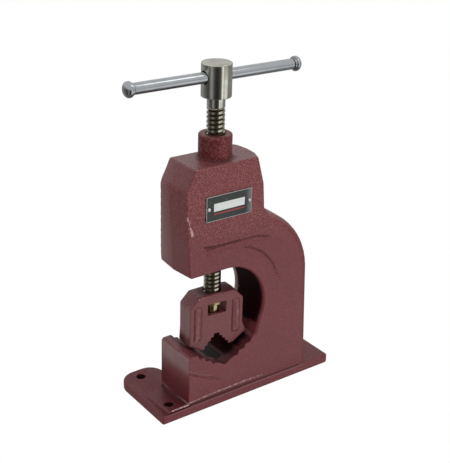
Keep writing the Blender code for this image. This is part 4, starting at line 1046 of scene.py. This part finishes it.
def buildBar(bar):
    profile = softProfile(
        bar, ("axis", "leftEnd"), ("stubRadius", "leftEnd"), ("stubRadius", "left"), ("radius", "left"),
        ("radius", "right"), ("stubRadius", "right"), ("stubRadius", "rightEnd"), ("axis", "rightEnd"))
    return turnedHandle("slidingBar", profile, "handle_bar")


def buildCap(name, side, node, cap):
    profile = softProfile(
        cap, ("axis", "boreEnd"), ("boreRadius", "boreEnd"), ("boreRadius", "start"),
        ("collarRadius", "start"), ("collarRadius", "collarEnd"), ("headRadius", "collarEnd"),
        ("headRadius", "straightEnd"))
    dome = arc(cap["headRadius"], cap["end"] - cap["straightEnd"], 0.0, 90.0, cap["domeSteps"])[1:-1]
    profile += [(across, cap["straightEnd"] + up) for across, up in dome] + [(0.0, cap["end"])]
    return turnedHandle(name, [(size, side * place) for size, place in profile], node)


slidingBar = buildBar(barSizes)
leftCap = buildCap("leftCap", -1.0, "handle_cap_left", capSizes)
rightCap = buildCap("rightCap", 1.0, "handle_cap_right", capSizes)
print("handle ready")


# split washer in the jaw's window

washerSizes = {"radius": 0.0094, "slot": 0.0049, "top": 0.1015, "bottom": 0.0989, "edge": 0.0004,
               "steps": 48, "slotSteps": 24}


def buildWasher(size):
    start = math.degrees(math.acos(size["slot"] / size["radius"]))
    outline = arc(size["radius"], size["radius"], start, -180.0 - start, size["steps"])
    outline += arc(size["slot"], size["slot"], 180.0, 360.0, size["slotSteps"])
    corners = [(across, deep, size["bottom"]) for across, deep in outline]
    flat = pushed("washerFlat", corners, (0.0, 0.0, size["top"] - size["bottom"]))
    mesh = bevelled("washerMesh", flat, size["edge"])
    return newPiece("splitWasher", mesh, washerZinc, "washer", "washer_zinc", "retaining_washer")


splitWasher = buildWasher(washerSizes)


# nameplate

plateSizes = {"width": 0.0488, "height": 0.0233, "centre": 0.2036, "back": -0.0225, "thickness": 0.0008,
              "corner": 0.0008, "edge": 0.00018, "rivetReach": 0.0218, "rivetHole": 0.0013,
              "holeReach": 0.004, "holeAround": 24, "cornerSteps": 4}
# the printed boxes: (height above the plate's middle, half the width, half the height, softness of the edge)
plateLook = {
    "field": (0.0, 0.0239, 0.01115, 0.00012),
    "bar": (0.0008, 0.0165, 0.0036, 0.00010),
    "line": (-0.0052, 0.0165, 0.0005, 0.00008),
    "metals": ((0.62, 0.61, 0.60, 1.0), (0.48, 0.47, 0.46, 1.0)),
    "darks": ((0.016, 0.023, 0.019, 1.0), (0.15, 0.155, 0.155, 1.0)), "sheen": (0.0172, 0.0228, 0.0, 0.75),
    "barColour": (0.62, 0.64, 0.62, 1.0), "lineColour": (0.36, 0.03, 0.04, 1.0),
    "scuff": (420.0, 5.0, 0.7, 0.60, 0.72), "scuffShare": 0.25,
    "grain": (900.0, 2.0), "relief": 0.1, "reliefDepth": 0.00003, "bareRough": 0.34, "inkRough": 0.42,
}


# 1 inside an upright rectangle, 0 outside it
def boxMask(tree, across, up, box):
    middle, halfWidth, halfHeight, soft = box
    up = minus(tree, up, middle)
    outside = [ramp(tree, calc(tree, "ABSOLUTE", value), half - soft, half + soft)
               for value, half in ((across, halfWidth), (up, halfHeight))]
    return inverse(tree, strongest(tree, *outside))


def makePlateMetal(look):
    material, tree, shader = startMaterial("plateMetal")
    place = objectPlace(tree)
    spot = partsOf(tree, place)
    across, up = spot["X"], minus(tree, spot["Z"], plateSizes["centre"])
    field, bar, line = (boxMask(tree, across, up, look[box]) for box in ("field", "bar", "line"))
    scuff = patches(tree, place, *look["scuff"])
    kept = inverse(tree, times(tree, scuff, look["scuffShare"]))
    printed = times(tree, field, kept)
    grain = noiseAt(tree, place, *look["grain"])
    ink = blendColours(tree, ramp(tree, across, *look["sheen"]), *look["darks"])
    ink = blendColours(tree, bar, ink, look["barColour"])
    ink = blendColours(tree, line, ink, look["lineColour"])
    colour = blendColours(tree, printed, blendColours(tree, grain, *look["metals"]), ink)
    feed(tree, shader.inputs["Base Color"], colour)
    feed(tree, shader.inputs["Metallic"], inverse(tree, printed))
    feed(tree, shader.inputs["Roughness"], blendValues(tree, printed, look["bareRough"], look["inkRough"]))
    addBump(tree, shader, grain, look["relief"], look["reliefDepth"])
    return material


def buildPlate(size):
    half, tall, corner = size["width"] / 2, size["height"] / 2, size["corner"]
    outline = []
    for sideX, sideZ, first in ((1, 1, 0.0), (-1, 1, 90.0), (-1, -1, 180.0), (1, -1, 270.0)):
        for across, up in arc(corner, corner, first, first + 90.0, size["cornerSteps"]):
            outline.append((sideX * (half - corner) + across, size["back"],
                            size["centre"] + sideZ * (tall - corner) + up))
    flat = pushed("plateFlat", outline, (0.0, -size["thickness"], 0.0))
    reach, radius = size["holeReach"], size["rivetHole"]
    profile = [(0.0, -reach), (radius, -reach), (radius, reach), (0.0, reach)]
    holes = [turned("plateHole", profile, size["holeAround"], "Y",
                    (side * size["rivetReach"], size["back"], size["centre"])) for side in (-1, 1)]
    mesh = bevelled("plateMesh", cutWith(flat, holes, "plateCut"), size["edge"])
    return newPiece("namePlate", mesh, makePlateMetal(plateLook), "frame", "plate_metal", "nameplate")


namePlate = buildPlate(plateSizes)

rivetSizes = {"shank": 0.0010, "head": 0.0019, "rise": 0.0009, "seat": -0.0236, "tail": -0.0185,
              "dome": (0.0, 84.0, 7), "around": 32}


def buildRivet(name, side, node, size):
    dome = [(across, size["seat"] - up) for across, up in arc(size["head"], size["rise"], *size["dome"])]
    profile = [(0.0, size["tail"]), (size["shank"], size["tail"]), (size["shank"], size["seat"])] + dome
    profile.append((0.0, size["seat"] - size["rise"]))
    place = (side * plateSizes["rivetReach"], 0.0, plateSizes["centre"])
    mesh = turned(name + "Mesh", profile, size["around"], "Y", place)
    return newPiece(name, mesh, rivetSteel, "frame", "rivet_steel", node)


leftRivet = buildRivet("leftRivet", -1, "nameplate_rivet_left", rivetSizes)
rightRivet = buildRivet("rightRivet", 1, "nameplate_rivet_right", rivetSizes)
print("plate ready")


# floor, world and lights

studio = {"floor": 4.0, "floorColour": (0.93, 0.93, 0.93, 1.0), "soft": 0.69, "brightest": 2.4,
          "upper": 0.84, "upperFrom": (-0.12, 0.30), "below": 0.20, "belowFrom": (-0.62, -0.82)}
keyLight = {"place": (0.35, -1.30, 0.45), "target": (0.03, 0.0, 0.15), "size": (1.0, 0.8), "power": 6.5}
# what polished parts see round the horizon: (bearing in degrees from +Y towards -X, glow)
skyBands = ((0, 0.34), (20, 0.38), (42, 0.26), (53, 0.17), (72, 0.11), (82, 0.06), (92, 0.14), (103, 0.34),
            (114, 0.36), (122, 0.16), (137, 0.05), (152, 0.03), (174, 0.10), (183, 0.45), (191, 1.90),
            (199, 0.66), (207, 0.56), (214, 0.60), (227, 0.55), (236, 0.30), (262, 0.31), (359, 0.34))
# an upright strip light, low on the right: bearings and heights where it starts, is full and ends
skyStrip = {"bearings": (0.545, 0.590, 0.630, 0.675), "heights": (-0.75, -0.52, -0.30, -0.08), "glow": 0.54}
# a round light, full up to the first angle from its middle and gone at the second
skySpot = {"toward": (0.485, -0.414, 0.770), "angles": (5, 11), "glow": 2.0}


# white to the camera, pale paper to soft light, unseen in polished parts
def makeFloor():
    shape = bmesh.new()
    bmesh.ops.create_grid(shape, x_segments=1, y_segments=1, size=studio["floor"])
    mesh = meshFrom(shape, "floor")
    floor = newObject("floor", mesh)
    material, tree, shader = startMaterial("floorPaper", Roughness=0.9, Specular_IOR_Level=0.1)
    shader.inputs["Base Color"].default_value = studio["floorColour"]
    path = addNode(tree, "ShaderNodeLightPath").outputs
    shown = addNode(tree, "ShaderNodeEmission").outputs[0]
    through = addNode(tree, "ShaderNodeBsdfTransparent").outputs[0]
    paper = addNode(tree, "ShaderNodeMixShader", {0: path["Is Camera Ray"], 1: shader.outputs[0], 2: shown})
    seen = addNode(tree, "ShaderNodeMixShader", {0: path["Is Glossy Ray"], 1: paper.outputs[0], 2: through})
    feed(tree, tree.nodes["Material Output"].inputs["Surface"], seen.outputs[0])
    mesh.materials.append(material)


# a ring of grey levels by bearing
def horizonGlow(tree, share):
    bands = addNode(tree, "ShaderNodeValToRGB", {0: share})
    stops = bands.color_ramp.elements
    stops.remove(stops[-1])
    for index, (degrees, glow) in enumerate(skyBands):
        stop = stops.new(degrees / 360.0) if index else stops[0]
        stop.position = degrees / 360.0
        level = glow / studio["brightest"]
        stop.color = (level, level, level, 1.0)
    return times(tree, bands.outputs["Color"], studio["brightest"])


def makeWorld():
    world = bpy.data.worlds.new("studioWorld")
    scene.world = world
    world.use_nodes = True
    tree = world.node_tree
    direction = addNode(tree, "ShaderNodeTexCoord").outputs["Generated"]
    parts = partsOf(tree, direction)
    up = parts["Z"]
    bearing = calc(tree, "ARCTAN2", times(tree, parts["X"], -1.0), parts["Y"])
    share = calc(tree, "FRACT", plus(tree, calc(tree, "DIVIDE", bearing, 2.0 * math.pi), 1.0))
    strip = skyStrip["glow"]
    for value, (start, full, fading, end) in ((share, skyStrip["bearings"]), (up, skyStrip["heights"])):
        rise, fall = ramp(tree, value, start, full), ramp(tree, value, fading, end)
        strip = times(tree, rise, strip, inverse(tree, fall))
    glow = plus(tree, horizonGlow(tree, share), strip)
    glow = blendValues(tree, ramp(tree, up, *studio["upperFrom"]), glow, studio["upper"])
    belowStart, belowFull = studio["belowFrom"]
    below = inverse(tree, ramp(tree, up, belowFull, belowStart))
    glow = blendValues(tree, below, glow, studio["below"])
    full, gone = (math.cos(math.radians(angle)) for angle in skySpot["angles"])
    near = vectorCalc(tree, "DOT_PRODUCT", direction, Vector(skySpot["toward"]).normalized())
    glow = plus(tree, glow, times(tree, ramp(tree, near, gone, full), skySpot["glow"]))
    path = addNode(tree, "ShaderNodeLightPath").outputs
    strength = blendValues(tree, path["Is Glossy Ray"], studio["soft"], glow)
    strength = blendValues(tree, path["Is Camera Ray"], strength, 1.0)
    back = tree.nodes["Background"]
    back.inputs["Color"].default_value = (1.0, 1.0, 1.0, 1.0)
    feed(tree, back.inputs["Strength"], strength)


def addSoftbox(name, settings):
    light = bpy.data.lights.new(name, "AREA")
    light.shape = "RECTANGLE"
    light.size, light.size_y = settings["size"]
    light.energy = settings["power"]
    lamp = newObject(name, light)
    lamp.location = settings["place"]
    aim = Vector(settings["target"]) - Vector(settings["place"])
    lamp.rotation_euler = aim.to_track_quat("-Z", "Y").to_euler()
    lamp.visible_glossy = False


makeFloor()
makeWorld()
addSoftbox("keyLight", keyLight)
scene.view_settings.view_transform = "Standard"
print("studio ready")
